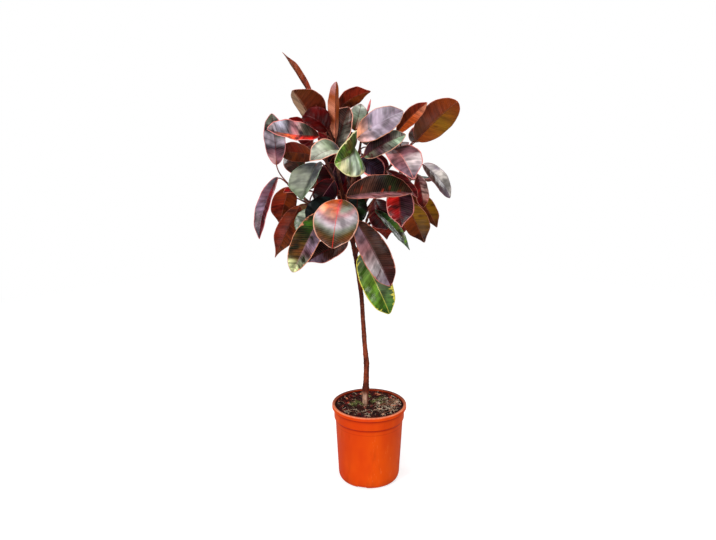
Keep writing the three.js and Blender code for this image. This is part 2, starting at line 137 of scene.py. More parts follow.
def dress(piece, *finishes):
    piece.data.materials.clear()
    for name in finishes:
        piece.data.materials.append(bpy.data.materials[name])


def addShape(makeShape, **settings):
    deselectAll()
    makeShape(**settings)
    return bpy.context.object


def storeOnPoints(data, name, kind, key, values):
    stored = data.attributes.new(name, kind, "POINT")
    stored.data.foreach_set(key, values.astype(np.float32).ravel())


def applyModifier(piece, kind, **settings):
    modifier = piece.modifiers.new(kind, kind)
    for key, value in settings.items():
        setattr(modifier, key, value)
    pick(piece)
    bpy.ops.object.modifier_apply(modifier=modifier.name)


def addLumps(piece, name, scale, strength, depth=2, group=""):
    texture = bpy.data.textures.new(name, "CLOUDS")
    texture.noise_scale = scale
    texture.noise_depth = depth
    settings = {"texture_coords": "LOCAL", "strength": strength, "vertex_group": group}
    applyModifier(piece, "DISPLACE", texture=texture, **settings)


# ---------- material helpers ----------
def newMaterial(name):
    material = bpy.data.materials.new(name)
    material.use_nodes = True
    return material.node_tree, material.node_tree.nodes["Principled BSDF"]


def put(socket, value):
    if isinstance(value, bpy.types.NodeSocket):
        socket.id_data.links.new(value, socket)
    else:
        socket.default_value = value


def putAll(node, values):
    for key, value in values.items():
        put(node.inputs[key], value)


def addNode(tree, kind, values=None, **settings):
    node = tree.nodes.new(kind)
    for key, value in settings.items():
        setattr(node, key, value)
    putAll(node, values or {})
    return node


def treeOf(*values):
    # The node tree of the first socket among the values.
    return next(value.id_data for value in values if isinstance(value, bpy.types.NodeSocket))


def calc(operation, first, second=0.0, third=0.0):
    values = {0: first, 1: second, 2: third}
    return addNode(treeOf(*values.values()), "ShaderNodeMath", values, operation=operation).outputs[0]


def times(first, second):
    return calc("MULTIPLY", first, second)


def scaled(value, factor, offset):
    return calc("MULTIPLY_ADD", value, factor, offset)


def vectorCalc(operation, first, second=(0, 0, 0), output="Vector"):
    node = addNode(first.id_data, "ShaderNodeVectorMath", {0: first, 1: second}, operation=operation)
    return node.outputs[output]


def mix(share, first, second, mode="MIX"):
    node = addNode(treeOf(share, first, second), "ShaderNodeMix", data_type="RGBA", blend_type=mode)
    putAll(node, {0: share, 6: first, 7: second})
    return node.outputs[2]


def shaded(surface, shade, share=1.0):
    return mix(share, surface, shade, "MULTIPLY")


def ramp(value, start, end, first=0.0, last=1.0):
    # Goes softly from the first level to the last. The start may lie above the end.
    values = {"Value": value, "From Min": start, "From Max": end, "To Min": first, "To Max": last}
    return addNode(value.id_data, "ShaderNodeMapRange", values, interpolation_type="SMOOTHSTEP").outputs[0]


def readAttribute(tree, name, output="Fac"):
    return addNode(tree, "ShaderNodeAttribute", attribute_name=name).outputs[output]


def objectPlace(tree):
    return addNode(tree, "ShaderNodeTexCoord").outputs["Object"]


def axes(place):
    return addNode(place.id_data, "ShaderNodeSeparateXYZ", {0: place}).outputs


def noise(vector, scale, detail=3.0, roughness=0.55):
    values = {"Vector": vector, "Scale": scale, "Detail": detail, "Roughness": roughness}
    return addNode(vector.id_data, "ShaderNodeTexNoise", values).outputs["Fac"]


def bump(height, distance, normal=None):
    values = {"Height": height, "Distance": distance}
    if normal:
        values["Normal"] = normal
    return addNode(height.id_data, "ShaderNodeBump", values).outputs["Normal"]


def linear(tone):
    # A colour as seen on a screen, 0 to 255, as Blender mixes it.
    return tuple((c / 255 / 12.92 if c <= 10 else ((c / 255 + 0.055) / 1.055) ** 2.4) for c in tone) + (1.0,)


def twoTones(value, start, end, dark, light):
    return mix(ramp(value, start, end), linear(dark), linear(light))


def layer(surface, share, tone):
    return mix(share, surface, linear(tone))


def finishSkin(skin, surface, roughness, normal, specular):
    putAll(skin, {"Base Color": surface, "Roughness": roughness, "Normal": normal})
    putAll(skin, {"Specular IOR Level": specular})


# ---------- shared patterns ----------
def newGroup(name, inputs, outputs):
    # Each input has its kind. The outputs are all plain values.
    tree = bpy.data.node_groups.new(name, "ShaderNodeTree")
    for label, kind in inputs.items():
        tree.interface.new_socket(label, in_out="INPUT", socket_type="NodeSocket" + kind)
    for label in outputs:
        tree.interface.new_socket(label, in_out="OUTPUT", socket_type="NodeSocketFloat")
    return tree, tree.nodes.new("NodeGroupInput").outputs, tree.nodes.new("NodeGroupOutput").inputs


def makeGrainGroup():
    # Blotches and fine grain on Object coordinates, for plastic, bark, soil and stalks.
    inputs = {"Blotch Scale": "Float", "Grain Scale": "Float", "Stretch": "Vector"}
    tree, given, out = newGroup("blotchAndGrain", inputs, ["Blotch", "Grain"])
    stretched = vectorCalc("MULTIPLY", objectPlace(tree), given["Stretch"])
    put(out["Blotch"], noise(stretched, given["Blotch Scale"], 3.0, 0.6))
    put(out["Grain"], noise(stretched, given["Grain Scale"], 5.0, 0.6))
    return tree


def makeVeinGroup():
    # Patterns that follow the side veins, on the leaf's own map in tenths of a metre:
    # x runs across from the midrib and y along it. The side veins lean towards the tip.
    veinGap, veinLean = 0.052, 0.4
    spots = {  # how fine along the leaf, how fine across it, and the noise's detail
        "Streak": (11.0, 1.4, 4.0), "Patch": (4.0, 1.8, 3.0), "Cloud": (3.0, 3.0, 2.0),
        "Quilt": (8.0, 1.0, 1.0), "Pores": (70.0, 50.0, 2.0),
    }
    tree, given, out = newGroup("leafVeins", {"Seed": "Float"}, ["Rib", "Vein", *spots])
    place = addNode(tree, "ShaderNodeUVMap", uv_map="leafMap").outputs[0]
    x, y, _ = axes(place)
    across = calc("ABSOLUTE", x)
    phase = calc("SUBTRACT", y, times(across, veinLean))
    put(out["Rib"], ramp(across, 0.013, 0.004))
    wobble = times(noise(place, 5.0), 2.4)
    wave = calc("SINE", scaled(phase, 2 * math.pi / veinGap, wobble))
    put(out["Vein"], ramp(wave, 0.5, 1.0))
    for label, (fine, wide, detail) in spots.items():
        values = {0: times(x, wide), 1: times(phase, fine), 2: given["Seed"]}
        spot = addNode(tree, "ShaderNodeCombineXYZ", values).outputs[0]
        put(out[label], noise(spot, 1.0, detail))
    return tree


patterns = {"grain": makeGrainGroup(), "veins": makeVeinGroup()}


def useGrain(tree, blotch, fine, stretch=(1, 1, 1)):
    # The blotches and the grain, each at its own scale.
    values = {"Blotch Scale": blotch, "Grain Scale": fine, "Stretch": stretch}
    return addNode(tree, "ShaderNodeGroup", values, node_tree=patterns["grain"]).outputs


# ---------- leaf finishes ----------
leafFinish = {
    "veinDepth": 0.00025,
    "top": {"roughness": 0.26, "quilt": 0.0036, "vein": -0.7, "pores": 0.12, "specular": 0.08},
    "under": {"roughness": 0.32, "quilt": -0.0036, "vein": 0.8, "pores": 0.2, "specular": 0.1},
}


def startLeaf(name):
    # The material's tree and skin, the vein patterns and where the patches lie.
    tree, skin = newMaterial(name)
    seed = {"Seed": readAttribute(tree, "leafSeed")}
    pattern = addNode(tree, "ShaderNodeGroup", seed, node_tree=patterns["veins"]).outputs
    patchy = calc("SUBTRACT", pattern["Patch"], scaled(readAttribute(tree, "leafPatchy"), -0.32, 0.68))
    return tree, skin, pattern, patchy


def finishLeaf(skin, pattern, surface, side):
    roughness = scaled(pattern["Pores"], 0.2, side["roughness"])
    relief = scaled(pattern["Vein"], side["vein"], times(pattern["Pores"], side["pores"]))
    normal = bump(relief, leafFinish["veinDepth"], bump(pattern["Quilt"], side["quilt"]))
    finishSkin(skin, surface, roughness, normal, side["specular"])


def leafTopMaterial():
    tree, skin, pattern, patchy = startLeaf("leafTop")
    main, patch, edge, rib = (readAttribute(tree, "leaf" + part, "Color") for part in leafParts)
    surface = mix(ramp(patchy, -0.02, 0.12), main, patch)
    streaks = ramp(pattern["Streak"], 0.3, 0.7, 0.42, 1.58)
    surface = shaded(surface, streaks, readAttribute(tree, "leafStreak"))
    surface = shaded(surface, ramp(pattern["Cloud"], 0.32, 0.68, 0.42, 1.6))
    surface = mix(times(pattern["Vein"], 0.07), surface, edge)
    # the margin's colour runs in along some of the side veins
    runs = times(ramp(pattern["Streak"], 0.5, 0.75), ramp(pattern["Patch"], 0.4, 0.6))
    feather = times(readAttribute(tree, "leafFeather"), runs)
    reach = scaled(feather, 16.0, readAttribute(tree, "leafMargin"))
    share = calc("DIVIDE", readAttribute(tree, "edgeDistance"), reach)
    surface = mix(ramp(share, 1.2, 0.75), surface, edge)
    surface = mix(times(pattern["Rib"], 0.75), surface, rib)
    finishLeaf(skin, pattern, surface, leafFinish["top"])
    putAll(skin, {"Coat Weight": readAttribute(tree, "leafGloss"), "Coat Roughness": 0.2})


def leafUnderMaterial():
    tree, skin, pattern, patchy = startLeaf("leafUnderside")
    under = readAttribute(tree, "leafUnder", "Color")
    deep = shaded(under, (0.4, 0.3, 0.25, 1))
    surface = mix(ramp(patchy, 0.0, 0.12), under, deep)
    streaks = ramp(pattern["Streak"], 0.3, 0.7, 0.65, 1.35)
    surface = shaded(surface, streaks, readAttribute(tree, "leafStreak"))
    surface = mix(times(pattern["Vein"], 0.3), surface, deep)
    pale = mix(0.35, under, (0.8, 0.42, 0.25, 1))
    surface = mix(times(pattern["Rib"], 0.5), surface, pale)
    margin = ramp(readAttribute(tree, "edgeDistance"), 0.5, 1.6, 0.5, 0.0)
    surface = mix(margin, surface, readAttribute(tree, "leafEdge", "Color"))
    finishLeaf(skin, pattern, surface, leafFinish["under"])
    putAll(skin, {"Coat Weight": 0.08, "Coat Roughness": 0.3})


def stalkMaterial(name, dark, light, roughness, stretch=(1, 1, 1)):
    tree, skin = newMaterial(name)
    blotch, grain = useGrain(tree, 55.0, 420.0, stretch)
    surface = twoTones(blotch, 0.38, 0.66, dark, light)
    surface = shaded(surface, ramp(grain, 0.3, 0.7, 0.7, 1.25))
    finishSkin(skin, surface, scaled(grain, 0.25, roughness - 0.12), bump(grain, 0.0004), 0.2)


# ---------- paths and round bars ----------
def between(measures, start, end, share):
    return measures[start] + (measures[end] - measures[start]) * share


def routeThrough(points, samples=320):
    # A smooth line through the points, with its running length, so that a share of it is a place.
    knots = [Vector(p[:3]) * mm for p in points]
    knots = [knots[0] * 2 - knots[1]] + knots + [knots[-1] * 2 - knots[-2]]
    spans = len(knots) - 3
    places = []
    for i in range(samples + 1):
        step = min(int(i * spans / samples), spans - 1)
        t = i * spans / samples - step
        before, start, end, after = knots[step:step + 4]
        leave, arrive = (end - before) * 0.5, (after - start) * 0.5
        places.append(start * (2 * t**3 - 3 * t**2 + 1) + leave * (t**3 - 2 * t**2 + t)
                      + end * (3 * t**2 - 2 * t**3) + arrive * (t**3 - t**2))
    run = [0.0]
    for first, second in zip(places, places[1:]):
        run.append(run[-1] + (second - first).length)
    return {"places": places, "shares": [each / run[-1] for each in run], "length": run[-1]}


def placeOn(route, share):
    at = int(np.searchsorted(route["shares"], share))
    at = min(max(at, 1), len(route["places"]) - 1)
    low, high = route["shares"][at - 1], route["shares"][at]
    first, second = route["places"][at - 1], route["places"][at]
    return first.lerp(second, (share - low) / (high - low)), (second - first).normalized()


def barsToMesh(name, bars, sides, finish):
    # Each bar is a list of (place, radius), drawn as one round curve and then made a mesh.
    data = bpy.data.curves.new(name, "CURVE")
    data.dimensions = "3D"
    data.bevel_depth = 1.0
    data.bevel_resolution = max(0, sides // 2 - 2)
    data.use_fill_caps = True
    for bar in bars:
        spline = data.splines.new("POLY")
        spline.points.add(len(bar) - 1)
        spline.points.foreach_set("co", [v for place, _ in bar for v in (*place, 1.0)])
        spline.points.foreach_set("radius", [radius for _, radius in bar])
    pick(newObject(name, data))
    bpy.ops.object.convert(target="MESH")
    piece = bpy.context.object
    dress(piece, finish)
    for face in piece.data.polygons:
        face.use_smooth = True
    return piece


# ---------- leaves ----------
blade = {
    "thickness": 0.9, "curl": 0.16, "roundness": 0.56, "point": 0.3, "across": 22, "along": 46,
    "crease": 0.004, "creaseFoot": 0.063, "creaseSpan": 0.939,  # they round the fold at the midrib
    "veinWave": (2.9, 0.45), "longWave": (7.5, 1.7), "waveEase": 1.4, "waveShift": 1.7,
}
petiole = {"foot": 2.0, "end": 1.5, "seat": 0.05, "steps": 14, "ribFoot": 1.55, "ribEnd": 0.4, "ribSteps": 20}
branch = {"foot": 5.0, "tip": 2.3, "ring": 0.7, "ringWidth": 0.0035}
leafParts = ("Main", "Patch", "Edge", "Rib")

tones = {  # as seen, 0 to 255
    "soot": (14, 7, 7), "night": (26, 20, 32), "earth": (46, 22, 14), "cocoa": (62, 34, 26),
    "umber": (84, 42, 14), "maroon": (44, 7, 11), "oxblood": (62, 0, 0), "wine": (84, 8, 12),
    "garnet": (126, 8, 12), "scarlet": (208, 26, 20), "brick": (136, 38, 18), "rustDark": (92, 32, 8),
    "rust": (134, 56, 14), "copper": (164, 76, 24), "orange": (224, 96, 34), "coral": (216, 138, 104),
    "aubergine": (46, 12, 26), "plum": (56, 24, 36), "mauve": (92, 58, 68), "lilac": (118, 98, 114),
    "orchid": (156, 138, 154), "ice": (164, 164, 182), "rose": (144, 92, 98), "blush": (196, 146, 142),
    "silver": (164, 150, 156), "ink": (34, 30, 44), "slate": (66, 68, 74), "stone": (104, 108, 94),
    "sage": (84, 98, 72), "mint": (130, 150, 122), "frost": (176, 186, 168), "olive": (68, 50, 14),
    "gold": (128, 88, 12), "bottle": (16, 32, 12), "leaf": (48, 92, 20), "fresh": (104, 148, 40),
    "teal": (16, 26, 24), "pink": (216, 124, 120), "salmon": (206, 118, 100), "peach": (226, 158, 132),
    "cream": (232, 216, 160), "straw": (214, 200, 84), "sand": (178, 148, 116),
    "pearl": (206, 192, 190), "celery": (190, 198, 142),
}

# How each leaf is coloured. Right and left are the halves of its upper side, seen from
# the stalk, each one tone or several from stalk to tip, and under and underLeft the same
# halves of its underside. These tones are partly the leaf's own colours and partly painted
# light: many pale grey, silver, lilac and frost tones are painted sheen on a glossy half
# that faces the light, a half turned away is often darker with painted shade, and the
# orange and some sand tones on undersides are painted light shining through or glancing
# off the leaf. Patchy is how much of it the patches take, margin the pale edge's width in
# mm, feather how far that edge runs in along the veins, streak how strongly it is
# streaked, gloss how much it shines and glow how far the midrib's colour spreads beside it
# on the first half of the leaf. Bend draws the tones nearer the stalk towards the margin,
# so that they lie in a curve; on the ember leaf this curves its painted highlight into a V.
plainLook = dict(right="wine", left="wine", under="rust", patch="soot", patchy=0.4, edge="salmon",
                 margin=1.5, feather=0.1, rib="wine", streak=1.0, gloss=0.35, glow=0.0, bend=0.0)
leafLooks = {
    "rustSpear": dict(under="rustDark rust sand", underLeft="brick rust rust", patchy=0.5),
    "rustPale": dict(under="sand", underLeft="oxblood rustDark umber", patchy=0.2),
    "salmonSpear": dict(under="coral rust coral copper blush", underLeft="coral copper copper copper",
        patchy=0.1, streak=0.4),
    "rustArched": dict(under="rustDark brick brick", underLeft="rustDark rust rust", patchy=0.6),
    # rustOrange: the orange on its underLeft is painted light shining through the leaf
    "rustOrange": dict(under="rustDark rustDark brick", underLeft="orange orange coral", patchy=0.2),
    "rustGold": dict(under="umber rustDark rust", underLeft="copper gold rust", patchy=0.2, streak=0.7),
    "rustRed": dict(under="rustDark rust umber", underLeft="rust brick rustDark", patchy=0.5),
    "rustOlive": dict(right="olive", left="olive", under="gold gold umber",
        underLeft="rust rust umber"),
    "oxblood": dict(right="oxblood", left="oxblood", under="garnet", edge="wine", patch="maroon",
        patchy=0.3, streak=0.4, gloss=0.04),
    "deepRed": dict(right="garnet", patch="maroon", under="garnet", gloss=0.1),
    "maroon": dict(right="maroon", left="aubergine", edge="garnet", rib="rose", under="wine",
        gloss=0.08),
    "wine": dict(left="maroon", edge="pink", under="brick"),
    "slate": dict(right="stone stone cocoa", left="earth cocoa earth", patch="earth", patchy=0.5,
        edge="peach", margin=2.2),
    "blueRed": dict(right="cocoa stone rose slate ice silver", left="scarlet scarlet orange olive",
        patch="night", patchy=0.35, edge="pink", margin=3.2, streak=0.8),
    "paleMint": dict(right="slate mint frost frost", left="mint frost frost", patch="sage", patchy=0.3,
        edge="peach", margin=2.2, gloss=0.4, streak=0.3),
    "greySage": dict(right="slate stone stone sage", left="slate slate sage", patch="stone",
        edge="mint", rib="stone", streak=0.4, gloss=0.25),
    "lilacPatched": dict(right="rose mauve soot silver stone ink stone stone",
        left="blush rose ink silver silver soot stone sage", patch="slate", patchy=0.3, edge="pink",
        gloss=0.4, streak=0.5),
    "lilacRed": dict(right="slate mauve lilac mauve slate", left="garnet wine wine", patch="mauve",
        edge="pink", gloss=0.25, streak=0.6),
    # orchid: its pale lilac tones are painted sheen
    "orchid": dict(right="blush orchid lilac orchid", left="coral lilac orchid lilac", patch="slate",
        patchy=0.25, edge="coral", rib="orchid", streak=0.3, gloss=0.2),
    "mauveMint": dict(right="sage mauve stone mint", left="plum soot plum stone", patch="maroon",
        edge="peach", gloss=0.2),
    "mintPeach": dict(right="peach mint frost", left="olive mint frost", patch="sage", patchy=0.3,
        edge="peach", streak=0.6),
    # greyGloss: its silver and pearl half is painted sheen
    "greyGloss": dict(right="earth cocoa lilac", left="silver pearl pearl", patch="orchid", patchy=0.2,
        edge="rose", rib="orchid", streak=0.4, gloss=0.5),
    "lilacGloss": dict(right="lilac rose mauve lilac", left="cocoa mauve silver lilac", patch="mauve",
        edge="pink", margin=2.4, rib="pink", glow=0.3, streak=0.6),
    "redPale": dict(right="wine garnet wine", left="rose blush brick", patch="wine"),
    "purpleScarlet": dict(right="garnet scarlet garnet wine", left="aubergine plum plum aubergine",
        edge="pink", margin=2.4, feather=0.9, patch="wine", gloss=0.15, streak=0.7),
    "greenCream": dict(right="olive leaf olive leaf", left="fresh mint frost cream", patch="fresh",
        patchy=0.35, edge="cream", margin=2.8, feather=0.8, gloss=0.25, streak=0.8),
    "purplePink": dict(right="night ink aubergine", left="ink ink night", edge="pink", feather=0.9,
        margin=4.0, gloss=0.1, rib="aubergine"),
    "brownMauve": dict(right="rose", left="earth cocoa soot bottle earth", patch="brick", patchy=0.35,
        gloss=0.1),
    "teal": dict(right="teal", left="bottle", edge="maroon", under="brick", gloss=0.1),
    "tealPale": dict(right="mint frost mint", left="teal", edge="mint", patchy=0.2),
    # ember: the pale silver band, curved by bend, is a painted V-shaped highlight
    "ember": dict(right="orange orange orange coral rose silver stone olive umber",
        left="olive olive stone rose silver silver stone olive umber", patch="sage", patchy=0.2,
        edge="peach", margin=2.6, feather=0.2, rib="scarlet", streak=0.2, glow=0.9, bend=0.22),
    "greenMauve": dict(right="earth leaf bottle olive umber olive celery",
        left="mauve mauve lilac lilac mauve stone celery", patch="bottle", patchy=0.5, edge="coral",
        feather=0.9, rib="rose", gloss=0.05),
    "darkLilac": dict(right="earth soot earth", left="cocoa earth lilac", patch="earth", gloss=0.1),
    "mauveWine": dict(right="lilac rose silver lilac", left="cocoa earth maroon", patch="maroon",
        patchy=0.2, feather=0.35, gloss=0.05, streak=0.35),
    "greenYellow": dict(right="sage fresh leaf", left="mint sage leaf", patch="leaf", patchy=0.3,
        edge="straw", margin=2.4, feather=0.9, rib="straw", under="gold", streak=0.5, gloss=0.4),
    "greenStripe": dict(right="bottle", left="bottle leaf olive mint", patch="fresh", edge="sage",
        feather=0.4, rib="sage"),
    "greenPink": dict(right="bottle leaf sage", left="olive bottle sage", patch="maroon", edge="pink",
        margin=2.4, feather=0.8, rib="salmon"),
    "bronze": dict(right="olive", left="earth", under="wine", underLeft="maroon", patchy=0.5),
    "olive": dict(right="olive", left="earth", patch="wine", feather=0.3),
}

# Each leafy shoot: its branch's line in mm, the share of it that is bare wood, and its
# leaves. A leaf is its place along the branch, the blade's base and tip in mm, its width,
# the azimuth and height that its upper side faces, the midrib's rise, the halves' fold,
# its look and, where it is sharper or blunter than most, how sharp its end is.
shoots = {
    "shoot_top": ([[-64, 4, 780], [-76, 9, 830], [-90, 9, 905], [-102, 6, 980]], 0.3, [
        [0.9, [-147, 15, 1052], [-221, -5, 1169], 39, 175, 16, 17, 65, "rustSpear", 0.8],
        [0.84, [-145, 26, 982], [-197, -2, 1076], 124, 145, 25, 5, 34, "rustPale", 0.4],
        [0.62, [-109, -24, 978], [-169, -18, 1015], 76, 30, 22, 13, 29, "oxblood", 0.1],
        [0.7, [-88, -9, 956], [-85, -49, 1097], 53, 198, 3, 7, 56, "salmonSpear", 0.2],
        [0.9, [-90, 26, 1017], [2, 66, 1073], 66, 190, 40, 16, 14, "rustArched", 0.6],
        [0.55, [-87, 16, 930], [-54, 14, 1034], 92, -31, 14, 4, 31, "slate"],
    ]),
    "shoot_upper_left": ([[-58, 3, 740], [-78, -6, 795], [-100, -13, 870], [-125, -24, 930]], 0.4, [
        [0.88, [-129, -35, 964], [-256, -78, 983], 96, -15, 54, -7, 30, "blueRed", 0.2],
        [0.8, [-146, 8, 910], [-243, 30, 917], 68, 180, 35, 8, 10, "rustRed"],
        [0.84, [-78, -63, 931], [-149, -109, 908], 69, -15, 33, 15, 35, "paleMint", 0.5],
        [0.7, [-152, 30, 938], [-215, 70, 1003], 60, 180, 25, 8, 10, "deepRed"],
        [0.56, [-134, -57, 898], [-169, -133, 816], 109, -37, 29, 4, 34, "greySage", 0.5],
        [0.46, [-94, -34, 851], [-136, -52, 791], 62, 5, 20, 8, 14, "maroon"],
    ]),
    "shoot_left": ([[-55, 2, 727], [-98, 0, 760], [-163, -10, 795], [-214, -20, 840]], 0.42, [
        [0.9, [-241, -22, 890], [-248, -34, 1020], 60, -15, 5, -6, 12, "lilacPatched"],
        [0.84, [-238, -24, 859], [-286, -57, 703], 50, -26, 17, 18, 38, "lilacRed", 0.4],
        [0.8, [-213, 26, 827], [-243, 48, 723], 72, 200, 10, 8, 14, "rustRed", 0.6],
        [0.6, [-148, -40, 825], [-218, -80, 827], 54, -10, 80, 6, 12, "deepRed"],
        [0.68, [-180, 52, 863], [-218, 130, 920], 72, -120, 45, 10, 14, "olive"],
    ]),
    "shoot_top_centre": (
        [[-60, 5, 750], [-50, 16, 805], [-34, 24, 885], [-22, 30, 955], [-6, 37, 1023]], 0.35, [
        [0.75, [-34, -28, 957], [82, -40, 1025], 80, 8, 38, 12, 12, "orchid"],
        [0.62, [-16, -44, 913], [88, -58, 969], 66, -5, 45, 8, 16, "mauveMint"],
        [0.85, [-40, 40, 973], [-23, 62, 1041], 50, 20, 50, 4, 10, "mintPeach"],
        [0.86, [18, 66, 1005], [80, 142, 1010], 76, 130, 55, 12, 14, "wine"],
        [0.8, [-42, 66, 965], [-116, 96, 874], 76, 190, 20, 10, 14, "bronze"],
        [0.62, [0, 84, 930], [22, 195, 935], 80, 170, 60, 14, 14, "olive"],
    ]),
    "shoot_top_right": ([[-55, 4, 720], [-28, 18, 770], [22, 28, 845], [67, 32, 895], [104, 30, 937]], 0.5, [
        [0.88, [69, 19, 970], [148, 36, 1045], 51, 187, 37, 6, 9, "rustOrange", 0.4],
        [0.93, [124, 58, 946], [226, 29, 1048], 94, 180, 19, 12, 17, "rustGold", 0.1],
        [0.84, [114, 78, 940], [187, 165, 965], 78, 125, 50, 12, 14, "olive"],
        [0.7, [62, 84, 910], [80, 200, 930], 78, 165, 60, 12, 14, "wine"],
    ]),
    "shoot_right": ([[-48, 0, 695], [-26, -6, 740], [12, -10, 800], [60, -12, 850], [100, -14, 889]], 0.5, [
        [0.86, [60, -33, 930], [104, -128, 866], 95, 10, 31, 15, 27, "lilacGloss", 0.5],
        [0.88, [136, -6, 890], [212, 14, 800], 62, 40, 30, 12, 14, "greyGloss"],
        [0.86, [127, 40, 855], [144, 36, 771], 50, 35, 10, 3, 14, "redPale", 0.2],
        [0.7, [42, -36, 877], [120, -62, 811], 50, 20, 70, 6, 20, "deepRed"],
        [0.66, [68, -60, 843], [78, -92, 740], 76, 5, 10, 10, 22, "purpleScarlet", 0.7],
    ]),
    "shoot_centre": ([[-55, 1, 725], [-53, -22, 760], [-50, -52, 820], [-44, -78, 885]], 0.35, [
        [0.9, [-45, -92, 947], [-87, -180, 910], 118, 19, -13, 24, 25, "greenCream", 0.2],
        [0.8, [-29, -32, 905], [34, -41, 863], 66, 21, 30, 6, 15, "purplePink"],
        [0.55, [-60, -96, 819], [105, -89, 828], 109, -1, 56, 5, 37, "brownMauve"],
        [0.45, [-32, -60, 817], [-36, -76, 747], 56, -5, 12, 6, 14, "teal"],
    ]),
    "shoot_low_front": ([[-46, 0, 685], [-56, -22, 710], [-70, -62, 757], [-84, -100, 800]], 0.3, [
        [0.9, [-74, -130, 817], [-93, -205, 711], 112, -5, 28, 16, 10, "ember"],
        [0.85, [-124, -85, 777], [-196, -130, 633], 84, -20, 17, -2, 32, "greenMauve", 0.1],
        [0.42, [-58, -56, 697], [-164, -72, 645], 62, 15, 40, 10, 16, "darkLilac", 0.7],
        [0.75, [-94, -60, 805], [-163, -62, 750], 66, -5, 20, 8, 12, "teal"],
    ]),
    "shoot_low_right": ([[-39, 0, 650], [-32, -22, 670], [-18, -52, 715], [-6, -76, 770]], 0.22, [
        [0.8, [-36, -98, 757], [52, -102, 590], 84, 10, 15, 12, 30, "mauveWine"],
        [0.35, [-26, -44, 660], [52, -60, 502], 82, 12, 20, 14, 14, "greenYellow"],
        [0.9, [12, -72, 780], [102, -62, 675], 46, 40, 50, 8, 18, "greenStripe", 0.7],
        [0.88, [12, -50, 805], [44, -30, 723], 70, 5, 5, 8, 12, "wine", 0.6],
    ]),
    "shoot_low_right_back": (
        [[-47, 1, 690], [-23, 22, 710], [22, 42, 745], [62, 58, 775], [94, 68, 807]], 0.5, [
        [0.85, [96, 60, 780], [152, 70, 667], 76, 160, -5, 10, 14, "rustOlive", 0.6],
        [0.9, [120, 88, 807], [188, 95, 705], 56, 150, 10, 10, 14, "rustOlive", 0.5],
        [0.86, [114, 108, 835], [167, 195, 820], 76, 130, 55, 14, 14, "greenPink"],
        [0.65, [62, 100, 760], [87, 165, 665], 74, 170, 20, 12, 14, "wine"],
    ]),
    "shoot_low_left_back": ([[-48, 1, 695], [-73, 12, 720], [-118, 28, 750], [-180, 36, 790]], 0.42, [
        [0.84, [-186, 4, 780], [-254, 2, 640], 60, 190, 0, 12, 14, "rustRed", 0.8],
        [0.6, [-138, 8, 769], [-190, -24, 713], 62, -15, 20, 8, 12, "tealPale"],
        [0.88, [-210, 72, 793], [-258, 137, 735], 74, -120, 40, 14, 14, "brownMauve", 0.6],
        [0.75, [-158, 80, 775], [-183, 165, 710], 76, 200, 35, 12, 14, "greenYellow"],
    ]),
    "shoot_back": ([[-57, 3, 735], [-56, 40, 775], [-58, 85, 835], [-60, 120, 905]], 0.4, [
        [0.82, [-90, 130, 908], [-122, 158, 994], 78, 195, 30, 8, 12, "deepRed"],
        [0.84, [-98, 138, 910], [-193, 175, 910], 76, -140, 55, 12, 14, "wine", 0.6],
        [0.82, [-18, 148, 903], [42, 174, 828], 84, 160, 20, 10, 14, "bronze"],
        [0.72, [-56, 127, 868], [-50, 119, 788], 68, 185, 10, 8, 14, "maroon"],
        [0.66, [-93, 115, 840], [-178, 150, 800], 72, -140, 45, 12, 14, "greenPink"],
        [0.56, [-90, 74, 884], [-118, 60, 806], 80, 5, 15, 10, 14, "maroon"],
    ]),
    "shoot_back_low": ([[-45, 1, 680], [-36, 30, 705], [-20, 70, 750], [-3, 105, 795]], 0.4, [
        [0.8, [20, 130, 811], [78, 205, 793], 76, 150, 50, 14, 14, "olive"],
        [0.86, [-33, 135, 795], [-73, 215, 750], 78, 190, 40, 14, 14, "purplePink"],
        [0.72, [17, 110, 745], [52, 170, 655], 74, 160, 20, 12, 14, "wine", 0.7],
        [0.6, [-53, 90, 720], [-93, 140, 635], 72, 195, 15, 12, 14, "greenYellow"],
    ]),
}


def readLeaf(row, draw):
    along, base, tip, width, azimuth, height, rise, fold, look, *point = row
    turn, lift = math.radians(azimuth), math.radians(height)
    facing = np.array([math.cos(lift) * math.sin(turn), -math.cos(lift) * math.cos(turn), math.sin(lift)])
    span = np.array(tip, float) - np.array(base, float)
    length = float(np.linalg.norm(span))
    axis = span / length
    normal = facing - axis * facing.dot(axis)
    normal /= np.linalg.norm(normal)
    return {
        "along": along, "base": np.array(base, float), "axis": axis, "normal": normal, "length": length,
        "width": width, "rise": rise, "fold": math.radians(fold),
        "point": point[0] if point else blade["point"], "look": plainLook | leafLooks[look],
        "seed": draw.uniform(0, 90), "ripple": draw.uniform(0.5, 1.1), "phase": draw.uniform(0, 6.28),
        "tint": [draw.uniform(0.94, 1.07) for _ in range(3)],
    }


def halfWidth(leaf, share):
    start = 0.95 - 0.4 * leaf["point"]
    near = np.clip((share - start) / (1 - start), 0, 1)
    narrowed = 1 - leaf["point"] * near**2 * (3 - 2 * near)
    return 0.5 * leaf["width"] * np.clip(4 * share * (1 - share), 0, 1) ** blade["roundness"] * narrowed


def marginWave(leaf, share, across, half):
    # The blade's waves, strongest at the margin, with other crests on the other half.
    run, shift = share * leaf["length"], (across > 0) * blade["waveShift"]
    (finePitch, fineHeight), (longPitch, longHeight) = blade["veinWave"], blade["longWave"]
    wave = np.sin((run - 0.4 * np.abs(across) * half) / finePitch + leaf["phase"] + shift) * fineHeight
    wave += longHeight * np.sin(run / longPitch + leaf["phase"] * 2 + shift)
    return leaf["ripple"] * np.sin(np.pi * share) * np.abs(across) ** blade["waveEase"] * wave


